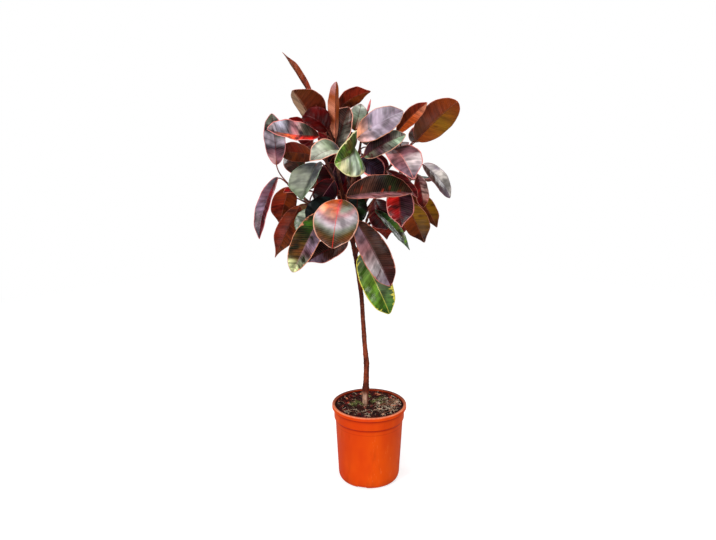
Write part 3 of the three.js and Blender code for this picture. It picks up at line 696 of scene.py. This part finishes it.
def bladePlaces(leaf, share, across):
    # Places in mm on the blade's middle surface, with its normal and half width there.
    sway = leaf["rise"] * 4 * (1 - 2 * share)
    tangent = leaf["axis"] * leaf["length"] + leaf["normal"] * sway[:, None]
    tangent /= np.linalg.norm(tangent, axis=1)[:, None]
    normal = leaf["normal"] - tangent * np.sum(leaf["normal"] * tangent, axis=1)[:, None]
    normal /= np.linalg.norm(normal, axis=1)[:, None]
    half = halfWidth(leaf, share)
    soft = (np.sqrt(across**2 + blade["crease"]) - blade["creaseFoot"]) / blade["creaseSpan"]
    lift = soft * half * math.sin(leaf["fold"]) - blade["curl"] * half * across**2
    lift = lift + marginWave(leaf, share, across, half)
    place = leaf["base"] + leaf["axis"] * (share * leaf["length"])[:, None]
    place = place + leaf["normal"] * (leaf["rise"] * 4 * share * (1 - share))[:, None]
    side = np.cross(tangent, normal)
    place = place + side * (across * half * math.cos(leaf["fold"]))[:, None] + normal * lift[:, None]
    return place, normal, half


def makeLeafBlank():
    # One flat leaf, square and unshaped, that every blade is copied from.
    counts = {"x_subdivisions": blade["across"], "y_subdivisions": blade["along"]}
    blank = addShape(bpy.ops.mesh.primitive_grid_add, size=2, **counts)
    blank.name = "leafBlank"
    blank.data.uv_layers[0].name = "leafMap"
    return blank


def toneAlong(names, share):
    # One tone, or several that follow each other from the stalk to the tip.
    stops = np.array([linear(tones[name]) for name in names.split()])
    spots = np.linspace(0.1, 0.93, len(stops))
    return np.stack([np.interp(share, spots, stops[:, i]) for i in range(4)], axis=1)


def halvesColour(right, left, share, across):
    blend = np.clip(0.5 + across / 0.08, 0, 1)[:, None]
    return toneAlong(left, share) * (1 - blend) + toneAlong(right, share) * blend


def paintLeaf(data, leaf, across, share, half):
    look, count = leaf["look"], len(across)
    bent = share + look["bend"] * across**2
    colours = {"leafMain": halvesColour(look["right"], look["left"], bent, across)}
    colours["leafUnder"] = halvesColour(look["under"], look.get("underLeft", look["under"]), share, across)
    for part in leafParts[1:]:
        colours["leaf" + part] = np.tile(linear(tones[look[part.lower()]]), (count, 1))
    glow = look["glow"] * np.exp(-((across * half / 5) ** 2)) * np.clip(1.8 - 3.2 * share, 0, 1)
    colours["leafMain"] += (colours["leafRib"] - colours["leafMain"]) * glow[:, None]
    for name, colour in colours.items():
        colour = np.clip(colour * [*leaf["tint"], 1.0], 0, 1)
        storeOnPoints(data, name, "FLOAT_COLOR", "color", colour)
    values = {"edgeDistance": half * (1 - np.abs(across)), "leafSeed": leaf["seed"]}
    for key in ("patchy", "margin", "feather", "gloss", "streak"):
        values["leaf" + key.capitalize()] = look[key]
    for name, value in values.items():
        storeOnPoints(data, name, "FLOAT", "value", np.broadcast_to(value, count))


def makeBlade(blank, leaf):
    piece = copyOf(blank)
    data = piece.data
    flat = np.zeros(len(data.vertices) * 3)
    data.vertices.foreach_get("co", flat)
    flat = flat.reshape(-1, 3)
    across, raw = flat[:, 0], (flat[:, 1] + 1) / 2
    share = 0.35 * raw + 0.65 * (0.5 - 0.5 * np.cos(np.pi * raw))  # closer rows near both ends
    place, _, half = bladePlaces(leaf, share, across)
    data.vertices.foreach_set("co", (place * mm).ravel())
    corner = np.zeros(len(data.loops), dtype=np.int32)
    data.loops.foreach_get("vertex_index", corner)
    spots = np.stack([across * half, share * leaf["length"]], axis=1) * 0.01
    data.uv_layers["leafMap"].data.foreach_set("uv", spots[corner].ravel())
    paintLeaf(data, leaf, across, share, half)
    dress(piece, "leafTop", "leafUnderside")
    editAll(piece)
    bpy.ops.mesh.remove_doubles(threshold=0.00005)
    bpy.ops.object.mode_set(mode="OBJECT")
    applyModifier(piece, "SOLIDIFY", thickness=blade["thickness"] * mm, offset=0, material_offset=1)
    bpy.ops.object.shade_smooth()
    return piece


def petioleBar(leaf, route):
    root, heading = placeOn(route, leaf["along"])
    places, _, _ = bladePlaces(leaf, np.array([petiole["seat"]]), np.zeros(1))
    end = Vector(places[0]) * mm
    ahead = leaf["axis"] * leaf["length"] + leaf["normal"] * leaf["rise"] * 4
    ahead = Vector(ahead / np.linalg.norm(ahead))
    reach = (end - root).length
    leaving = ((end - root).normalized() * 0.5 + heading * 0.5).normalized()
    first, second = root + leaving * 0.4 * reach, end - ahead * 0.35 * reach
    bar = []
    for i in range(petiole["steps"] + 1):
        t = i / petiole["steps"]
        place = root * (1 - t)**3 + first * 3 * t * (1 - t)**2 + second * 3 * t**2 * (1 - t) + end * t**3
        swell = 1 + 0.35 * max(0, 1 - t / 0.12) + 0.12 * max(0, (t - 0.8) / 0.2)
        bar.append((place, between(petiole, "foot", "end", t) * swell * mm))
    return bar + ribBar(leaf)


def ribBar(leaf):
    # The stalk goes on as the rib under the blade.
    shares = np.linspace(petiole["seat"] + 0.04, 0.96, petiole["ribSteps"])
    places, normals, _ = bladePlaces(leaf, shares, np.zeros(petiole["ribSteps"]))
    bar = []
    for share, place, normal in zip(shares, places, normals):
        radius = between(petiole, "ribFoot", "ribEnd", share**0.7)
        bar.append((Vector(place - normal * (0.3 + 0.35 * radius)) * mm, radius * mm))
    return bar


def stemBar(route, wood, leaves):
    bar, count = [], 60
    for i in range(count + 1):
        share = wood - 0.01 + (1 - wood + 0.01) * i / count
        place, _ = placeOn(route, min(share, 1))
        radius = between(branch, "foot", "tip", share)
        for leaf in leaves:  # a ring where each stalk leaves
            away = (share - leaf["along"]) * route["length"] / branch["ringWidth"]
            radius += branch["ring"] * math.exp(-away ** 2)
        bar.append((place, radius * (1 if i < count - 1 else 0.75) * mm))
    return bar


def makeShoots():
    leafTopMaterial()
    leafUnderMaterial()
    stalkMaterial("leafStalk", (84, 30, 22), (138, 66, 44), 0.42)
    stalkMaterial("youngBark", (58, 28, 22), (104, 60, 44), 0.5, (1, 1, 2))
    blank = makeLeafBlank()
    for name, (line, wood, rows) in shoots.items():
        draw = random.Random(name)
        route = routeThrough(line)
        leaves = [readLeaf(row, draw) for row in rows]
        blades = [makeBlade(blank, leaf) for leaf in leaves]
        stalks = barsToMesh(name + "Stalks", [petioleBar(leaf, route) for leaf in leaves], 10, "leafStalk")
        stem = barsToMesh(name + "Stem", [stemBar(route, wood, leaves)], 12, "youngBark")
        leafy = join(name.replace("shoot", "leafy"), blades + [stalks, stem])
        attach(leafy, "root")
        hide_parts(name)
        print("leaves on", name, len(leaves))
    bpy.data.objects.remove(blank)


# ---------- trunk ----------
trunk = {
    "line": [
        [-8, 0, 131, 8.9], [-10.5, 0, 226, 8.7], [-10.5, 0, 250, 8.8], [-10, 0, 264, 9.6],
        [-9, 0, 282, 8.0], [-8, 0, 322, 7.6], [-8, 0, 342, 7.9], [-10, 0, 362, 7.1],
        [-13, 0, 395, 6.3], [-15, 0, 425, 6.5], [-18, 0, 468, 6.0], [-22, 0, 531, 5.9],
        [-32, 0, 605, 5.9], [-41, 0, 661, 6.2], [-51, 1, 707, 6.1], [-60, 3, 750, 5.6],
        [-66, 5, 795, 4.6],
    ],
    "nodes": {  # height of each node and how far it swells
        261: 1.1, 268: 1.0, 277: 0.8, 285: 0.9, 298: 0.35, 320: 0.3, 340: 0.7, 367: 0.9, 392: 0.4,
        418: 0.5, 440: 0.5, 463: 0.4, 486: 0.4, 509: 0.4, 532: 0.5, 556: 0.4, 580: 0.5, 604: 0.4,
        628: 0.5, 649: 0.6, 668: 0.5,
    },
    "nodeWidth": 2.4, "steps": 260, "branchSteps": 40, "sides": 26,
}


def trunkRadius(height):
    radius = float(np.interp(height, [p[2] for p in trunk["line"]], [p[3] for p in trunk["line"]]))
    for node, swell in trunk["nodes"].items():
        radius += swell * math.exp(-((height - node) / trunk["nodeWidth"]) ** 2)
    return radius


def barkMaterial():
    tree, skin = newMaterial("trunkBark")
    blotch, grain = useGrain(tree, 45.0, 300.0, (1.0, 1.0, 0.45))
    rings, ringGrain = useGrain(tree, 60.0, 160.0, (0.25, 0.25, 2.6))
    x, _, height = axes(objectPlace(tree))
    brown = twoTones(blotch, 0.35, 0.65, (78, 22, 10), (146, 62, 34))
    # painted shade: the trunk darker higher up, under the crown
    brown = layer(brown, ramp(height, 0.36, 0.56, 0.0, 0.6), (62, 24, 16))
    pale = twoTones(blotch, 0.3, 0.7, (136, 84, 62), (206, 168, 144))
    # painted shade: the pale foot darker on its right side
    pale = layer(pale, ramp(x, -0.01, -0.003), (96, 40, 24))
    wander = scaled(blotch, 0.03, height)
    knot = times(ramp(wander, 0.27, 0.282), ramp(wander, 0.318, 0.3))
    brown = layer(brown, times(knot, 0.7), (58, 16, 10))
    surface = mix(ramp(wander, 0.276, 0.262), brown, pale)
    surface = layer(surface, times(ramp(rings, 0.62, 0.72), 0.5), (176, 118, 90))
    surface = shaded(surface, ramp(grain, 0.3, 0.7, 0.55, 1.3))
    relief = bump(scaled(ringGrain, 0.6, grain), 0.0011)
    finishSkin(skin, surface, scaled(grain, 0.3, 0.5), relief, 0.15)


def bareBranchBar(line, wood):
    path, bar = routeThrough(line), []
    for i in range(trunk["branchSteps"] + 1):
        share = wood * i / trunk["branchSteps"]
        place, _ = placeOn(path, share)
        run = share * path["length"]
        radius = between(branch, "foot", "tip", share) + 0.45 * max(0, math.sin(run / 0.0042)) ** 6
        radius += 1.5 * max(0, 1 - run / 0.03) ** 2  # wider where it leaves the trunk
        bar.append((place, radius * mm))
    return bar


def makeTrunk():
    barkMaterial()
    route = routeThrough(trunk["line"], 800)
    stem = []
    for i in range(trunk["steps"] + 1):
        place, _ = placeOn(route, i / trunk["steps"])
        stem.append((place, trunkRadius(place.z / mm) * mm))
    bars = [stem] + [bareBranchBar(line, wood) for line, wood, _ in shoots.values()]
    piece = barsToMesh("barkTrunk", bars, trunk["sides"], "trunkBark")
    addLumps(piece, "barkLumps", 0.012, 0.0011)
    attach(piece, "root")
    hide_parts("trunk")
    print("trunk and bare branches done")


# ---------- pot ----------
pot = {
    "height": 222, "rim": 104.2, "band": 98.2, "step": 181, "wallTop": 94.8, "wallFoot": 87.8,
    "footHeight": 27, "foot": 77, "wall": 1.9, "lip": 10.5, "floor": 2.2, "rise": 4.5, "disc": 28, "ring": 69,
    "turns": 192, "drainHoles": 8, "drainRadius": 5, "drainRing": 50,
    "notches": 4, "notchWidth": 27, "notchAngle": 255, "notchReach": 82,
}


def innerRadius(height):
    share = (height - pot["footHeight"]) / (pot["step"] - pot["footHeight"])
    return between(pot, "wallFoot", "wallTop", share) - pot["wall"]


def potProfile():
    top, under, lipFoot = pot["height"], pot["height"] - pot["wall"], pot["height"] - pot["lip"]
    rim, band, foot, wall, step, disc = (pot[key] for key in ("rim", "band", "foot", "wall", "step", "disc"))
    ring, rise, bendTop, wallTop = (pot[key] for key in ("ring", "rise", "footHeight", "wallTop"))
    floor, lip = rise + pot["floor"], rim - wall
    outside = [(0, 0), (disc, 0), (disc + 3, rise), (ring, rise), (ring + 1, 0.6), (ring + 1.6, 0)]
    for degrees in (0, 10, 22, 35, 48, 62, 76, 90):
        angle = math.radians(degrees)
        outside.append((foot + 10 * math.sin(angle), bendTop - bendTop * math.cos(angle) ** 0.8))
    outside += [
        (wallTop, step - 2.4), (wallTop + 0.3, step - 1.4), (band - 0.8, step + 0.5),
        (band - 0.2, step + 1.4), (band, step + 3), (band + 0.5, under - 0.6), (band + 1.1, under),
    ]
    hanging = [
        (lip - 0.6, under), (lip, under - 0.6), (lip + 0.2, lipFoot + 0.5), (lip + 0.7, lipFoot),
        (rim - 0.5, lipFoot), (rim, lipFoot + 0.6), (rim - 0.1, top - 2.8), (rim - 0.5, top - 1.5),
        (rim - 1.3, top - 0.6), (rim - 2.4, top - 0.1), (rim - 3.6, top), (band + 0.6, top),
        (band - 0.6, top - 0.4), (band + 0.3 - wall, top - 1.6),
    ]
    inside = [
        (band - wall, step + 3), (innerRadius(step), step - 1.5), (innerRadius(bendTop), bendTop),
        (foot + 6.4, 15), (foot + 3, floor + 1.5), (foot, floor), (disc + 2, floor),
        (disc - 1, pot["floor"]), (0, pot["floor"]),
    ]
    return outside + hanging + inside


def spinProfile(name, profile, turns):
    # The profile is drawn on the XZ plane and spun round the Z axis.
    data = bpy.data.meshes.new(name)
    edges = [(i, i + 1) for i in range(len(profile) - 1)]
    data.from_pydata([(x * mm, 0, z * mm) for x, z in profile], edges, [])
    piece = newObject(name, data)
    editAll(piece)
    bpy.ops.mesh.spin(steps=turns, angle=2 * math.pi, center=(0, 0, 0), axis=(0, 0, 1))
    bpy.ops.mesh.select_all(action="SELECT")
    bpy.ops.mesh.remove_doubles(threshold=0.00001)
    bpy.ops.mesh.normals_make_consistent(inside=False)
    bpy.ops.object.mode_set(mode="OBJECT")
    return piece


def cutWith(piece, cutters):
    cutter = join("cutter", cutters)
    applyModifier(piece, "BOOLEAN", operation="DIFFERENCE", solver="EXACT", object=cutter)
    bpy.data.objects.remove(cutter)


def around(radius, angle, height):
    return radius * math.cos(angle) * mm, radius * math.sin(angle) * mm, height * mm


def drainCutter(number):
    angle = 2 * math.pi * (number + 0.5) / pot["drainHoles"]
    spot = around(pot["drainRing"], angle, pot["rise"])
    size = {"vertices": 28, "radius": pot["drainRadius"] * mm, "depth": 0.02}
    return addShape(bpy.ops.mesh.primitive_cylinder_add, location=spot, **size)


def notchCutter(number):
    angle = math.radians(pot["notchAngle"] + 360 * number / pot["notches"])
    spot = around(pot["notchReach"], angle, 0)
    block = addShape(bpy.ops.mesh.primitive_cube_add, size=1, location=spot, rotation=(0, 0, angle))
    block.scale = (0.03, pot["notchWidth"] * mm, 2 * pot["rise"] * mm)
    bpy.ops.object.transform_apply(location=False, rotation=False, scale=True)
    editAll(block)
    bpy.ops.mesh.bevel(offset=0.0018, segments=3)
    bpy.ops.object.mode_set(mode="OBJECT")
    return block


# Layers of colour over the plastic: the tone, its strength and the bands that bound it. A
# band is a measure, the value where it is nil and the value where it is full, and for an
# uneven one also its least and its most. The layers under the lip and the step, the shaded
# inside, the back of the rim top, the underside and the foot's bottom edge are painted
# shade, and the one along the rim's top is a painted highlight; the rest are the plastic's
# own marks.
potLayers = {
    "smudges": ((150, 44, 8), 0.2, ("smudge", 0.58, 0.74)),
    # painted shade on the band beneath the lip
    "under the lip": ((168, 26, 0), 0.6, ("height", 0.198, 0.2115), ("radius", 0.1, 0.0992)),
    # painted shade beneath the step
    "under the step": ((168, 26, 0), 0.5, ("height", 0.172, 0.1805), ("height", 0.1825, 0.181)),
    "faint line": ((168, 26, 0), 0.3, ("fromLine", 0.0016, 0.0004)),
    "scratches": ((240, 140, 90), 0.3, ("scratch", 0.58, 0.7), ("cloud", 0.5, 0.62)),
    # painted shadow line right under the lip
    "painted shadow line below the lip": ((150, 8, 0), 0.85, ("height", 0.204, 0.2105), ("height", 0.212, 0.2115)),
    # painted shadow line at the step
    "painted shadow line at the step": ((170, 24, 2), 0.75, ("height", 0.175, 0.18), ("height", 0.1835, 0.1815)),
    # painted highlight along the rim's top, broken up unevenly
    "painted highlight on the rim": ((246, 156, 116), 1.0, ("height", 0.2185, 0.2215), ("scratch", 0.3, 0.6, 0.3, 0.8)),
    "shaded inside": ((84, 22, 10), 0.7, ("height", 0.2195, 0.2175), ("radius", 0.0973, 0.0962),
                      ("height", 0.184, 0.186)),
    # painted shade on the rim's top at the back
    "painted shade on the back rim": ((92, 24, 12), 1.0, ("height", 0.2195, 0.2215), ("radius", 0.1032, 0.1022),
                        ("back", -0.05, 0.07, 0.25, 0.95)),
    "splashes": ((120, 50, 24), 0.2, ("height", 0.035, 0.004), ("smudge", 0.4, 0.6)),
    # painted shade under the pot, inside the foot
    "underside": ((70, 22, 8), 0.85, ("height", 0.0052, 0.0046), ("radius", 0.0762, 0.0755)),
    # painted contact shadow along the bottom edge of the foot
    "painted contact shadow at the foot": ((48, 14, 6), 0.85, ("height", 0.0038, 0.0014), ("radius", 0.0808, 0.0794)),
}
potLine = 0.166  # height of the faint line


def potMaterial():
    tree, skin = newMaterial("potPlastic")
    cloud, grain = useGrain(tree, 9.0, 900.0, (1, 1, 0.6))
    smudge, scratch = useGrain(tree, 26.0, 150.0, (1.6, 1.6, 0.35))
    place = objectPlace(tree)
    _, back, height = axes(place)
    measures = {
        "cloud": cloud, "smudge": smudge, "scratch": scratch, "height": height, "back": back,
        "radius": vectorCalc("LENGTH", vectorCalc("MULTIPLY", place, (1, 1, 0)), output="Value"),
        "fromLine": calc("ABSOLUTE", calc("SUBTRACT", height, potLine)),
    }
    surface = twoTones(cloud, 0.35, 0.68, (216, 62, 0), (230, 80, 0))
    for tone, share, *bands in potLayers.values():
        for measure, *limits in bands:
            share = times(share, ramp(measures[measure], *limits))
        surface = layer(surface, share, tone)
    roughness = scaled(ramp(smudge, 0.58, 0.74), 0.15, scaled(grain, 0.12, 0.42))
    finishSkin(skin, surface, roughness, bump(grain, 0.00012), 0.1)


def makePot():
    potMaterial()
    piece = spinProfile("nurseryPot", potProfile(), pot["turns"])
    drains = [drainCutter(number) for number in range(pot["drainHoles"])]
    cutWith(piece, drains + [notchCutter(number) for number in range(pot["notches"])])
    dress(piece, "potPlastic")
    pick(piece)
    bpy.ops.object.shade_smooth_by_angle(angle=math.radians(32))
    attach(piece, "root")
    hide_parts("pot")
    print("pot done")


# ---------- soil ----------
soil = {
    "edge": 217, "mound": 2.5, "reach": 95.6, "foot": 7.2, "lumps": 0.0036, "tone": (40, 24, 18),
    "chips": 520, "chipSmall": 3.5, "chipLarge": 13.0, "chipShape": ((0.9, 1.5), (0.45, 0.8), (0.22, 0.5)),
    "fibres": 230, "fibreStep": 2.6, "fibreReach": 91, "tufts": 12, "tuftBlades": 34, "tuftSpread": 4.5,
    "chipTones": [
        (30, 10, 8), (46, 14, 12), (70, 20, 18), (90, 28, 34), (110, 44, 36), (38, 12, 14), (58, 22, 26),
        (128, 60, 50), (24, 8, 6), (54, 18, 14), (190, 140, 112), (64, 18, 16), (36, 12, 10), (96, 24, 28),
    ],
}


def soilHeight(radius):
    return float(np.interp(radius, [0, 25, 60, 94], [1, 1, 0.6, 0])) * soil["mound"] + soil["edge"]


def soilMaterial():
    tree, skin = newMaterial("pottingSoil")
    blotch, grain = useGrain(tree, 90.0, 480.0)
    surface = twoTones(blotch, 0.35, 0.65, (18, 4, 3), (62, 22, 16))
    surface = layer(surface, times(ramp(grain, 0.62, 0.7), 0.4), (150, 100, 80))
    finishSkin(skin, surface, scaled(grain, 0.3, 0.6), bump(grain, 0.003), 0.08)


def chipMaterial():
    tree, skin = newMaterial("barkChips")
    blotch, grain = useGrain(tree, 130.0, 700.0, (1, 0.5, 1))
    surface = shaded(readAttribute(tree, "chipTint", "Color"), ramp(blotch, 0.3, 0.7, 0.5, 1.4))
    finishSkin(skin, surface, scaled(grain, 0.3, 0.5), bump(grain, 0.0012), 0.12)


def paintTint(piece, tone):
    tint = np.tile(linear(tone), len(piece.data.vertices))
    storeOnPoints(piece.data, "chipTint", "FLOAT_COLOR", "color", tint)


def makeChip(blank, draw):
    chip = copyOf(blank)
    size = between(soil, "chipSmall", "chipLarge", draw.random() ** 2.2) / 2
    for vertex in chip.data.vertices:
        vertex.co *= 1 + draw.uniform(-0.22, 0.2)
    chip.scale = [size * draw.uniform(low, high) * mm for low, high in soil["chipShape"]]
    angle, radius = draw.uniform(0, 2 * math.pi), max(17, 88 * math.sqrt(draw.random()))
    chip.location = around(radius, angle, soilHeight(radius) + draw.uniform(-1.0, 1.4))
    chip.rotation_euler = (draw.uniform(-0.6, 0.6), draw.uniform(-0.6, 0.6), draw.uniform(0, 6.28))
    tone = draw.choice(soil["chipTones"])
    if radius > 58 and chip.location.y > -0.02:  # redder towards the back edge
        tone = (tone[0] * 1.35, tone[1] * 1.1, tone[2])
    paintTint(chip, tone)
    return chip


def makeChips():
    draw = random.Random(11)
    blank = addShape(bpy.ops.mesh.primitive_ico_sphere_add, subdivisions=2, radius=1)
    pieces = [makeChip(blank, draw) for _ in range(soil["chips"])]
    bpy.data.objects.remove(blank)
    chips = join("barkChips", pieces)
    bpy.ops.object.transform_apply(location=True, rotation=True, scale=True)
    dress(chips, "barkChips")
    return chips


def fibreBar(draw):
    angle, radius = draw.uniform(0, 2 * math.pi), 16 + 70 * math.sqrt(draw.random())
    if draw.random() < 0.45:  # most of them lie to the right of the trunk
        angle = draw.uniform(-0.9, 0.6)
    x, y = radius * math.cos(angle), radius * math.sin(angle)
    heading, turn = draw.uniform(0, 6.28), draw.uniform(-0.5, 0.5)
    thick, start, bar = draw.uniform(0.22, 0.6), draw.uniform(0, 6), []
    for i in range(draw.randint(5, 12)):
        height = soilHeight(min(math.hypot(x, y), soil["fibreReach"])) + 1.5 + 1.5 * math.sin(i * 0.9 + start)
        bar.append((Vector((x, y, height)) * mm, thick * mm * (1 - 0.06 * i)))
        x, y = x + soil["fibreStep"] * math.cos(heading), y + soil["fibreStep"] * math.sin(heading)
        if math.hypot(x, y) > soil["fibreReach"]:
            break
        heading += turn + draw.uniform(-0.25, 0.25)
    return bar


def mossBars(draw):
    angle, radius = draw.uniform(-0.6, 3.9), draw.uniform(12, 52)
    centre = (radius * math.cos(angle) - 4, radius * math.sin(angle))
    bars = []
    for _ in range(soil["tuftBlades"]):
        x, y = (middle + draw.gauss(0, soil["tuftSpread"]) for middle in centre)
        lean, tall = draw.uniform(0, 6.28), draw.uniform(2.0, 5.5)
        foot = Vector((x, y, soilHeight(math.hypot(x, y))))
        top = foot + Vector((math.cos(lean) * tall * 0.6, math.sin(lean) * tall * 0.6, tall))
        bars.append([(foot * mm, 0.5 * mm), (foot.lerp(top, 0.5) * mm, 0.55 * mm), (top * mm, 0.12 * mm)])
    return bars


def makeGround():
    edge, reach, foot = soil["edge"], soil["reach"], soil["foot"]
    profile = [(0, foot), (76, foot), (82, 16), (85.3, 27), (92, 179), (reach, 185), (reach, edge - 0.5)]
    profile += [(r, soilHeight(r)) for r in range(93, 0, -3)] + [(0, soilHeight(0))]
    ground = spinProfile("ground", profile, 120)
    top = ground.vertex_groups.new(name="top")
    rise = (edge - 0.4) * mm
    raised = [v.index for v in ground.data.vertices if v.co.z > rise and math.hypot(v.co.x, v.co.y) < 0.0925]
    top.add(raised, 1.0, "REPLACE")
    addLumps(ground, "soilLumps", 0.007, soil["lumps"], 3, "top")
    bpy.ops.object.shade_smooth()
    dress(ground, "pottingSoil")
    paintTint(ground, soil["tone"])
    return ground


def makeSoil():
    soilMaterial()
    chipMaterial()
    stalkMaterial("strawFibre", (150, 104, 76), (255, 236, 204), 0.7)
    stalkMaterial("moss", (72, 78, 34), (164, 170, 100), 0.7)
    ground = makeGround()
    draw = random.Random(5)
    fibres = [bar for bar in (fibreBar(draw) for _ in range(soil["fibres"])) if len(bar) > 2]
    straw = barsToMesh("fibres", fibres, 6, "strawFibre")
    moss = [bar for _ in range(soil["tufts"]) for bar in mossBars(draw)]
    tufts = barsToMesh("moss", moss, 5, "moss")
    piece = join("soilTop", [ground, makeChips(), straw, tufts])
    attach(piece, "root")
    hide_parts("soil")
    print("soil done")


# ---------- bud sheaths ----------
sheath = {
    "length": 32, "radius": 3.5, "shoots": ["top_centre", "right", "back", "back_low"],
    "scales": [(0.35, 1.0, 0.95), (-0.5, 0.82, 0.7)],  # lean, reach and breadth of each one
}


def sheathBar(place, heading, lean, reach, breadth):
    across = heading.orthogonal().normalized()
    bar = []
    for i in range(13):
        t = i / 12
        swell = math.sin(math.pi * min(1, 0.28 + 0.72 * t)) ** 0.8 if t > 0.12 else 0.75 + 1.4 * t
        spot = place + heading * (0.3 + sheath["length"] * reach * t) * mm + across * lean * 2.2 * t * t * mm
        bar.append((spot, max(0.12, sheath["radius"] * swell * breadth) * mm))
    return bar


def makeSheaths():
    stalkMaterial("sheathSkin", (190, 60, 76), (224, 128, 124), 0.4)
    for name in sheath["shoots"]:
        place, heading = placeOn(routeThrough(shoots["shoot_" + name][0]), 1.0)
        bars = [sheathBar(place, heading, *scale) for scale in sheath["scales"]]
        piece = barsToMesh("bud_" + name, bars, 12, "sheathSkin")
        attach(piece, "root")
        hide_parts("sheath_" + name)
    print("bud sheaths done")


# ---------- floor ----------
def floorMaterial():
    tree, skin = newMaterial("paleFloor")
    away = vectorCalc("LENGTH", objectPlace(tree), output="Value")
    far = ramp(away, 0.7, 2.6)  # far off it fades into the pale room
    seen = addNode(tree, "ShaderNodeLightPath").outputs["Is Camera Ray"]
    glow = ramp(far, 0.0, 1.0, 0.66, studio["skySeen"])
    putAll(skin, {
        "Base Color": mix(far, (0.5, 0.5, 0.5, 1), (0.0, 0.0, 0.0, 1)),
        "Roughness": 0.95,
        "Specular IOR Level": 0.0,
        "Emission Color": (1, 1, 1, 1),
        "Emission Strength": times(glow, seen),
    })


def makeFloor():
    floorMaterial()
    floor = addShape(bpy.ops.mesh.primitive_plane_add, size=40, location=(0, 0, 0))
    floor.name = "paleFloor"
    dress(floor, "paleFloor")


addCamera()
addStudio()
makeFloor()
makePot()
makeSoil()
makeTrunk()
makeShoots()
makeSheaths()
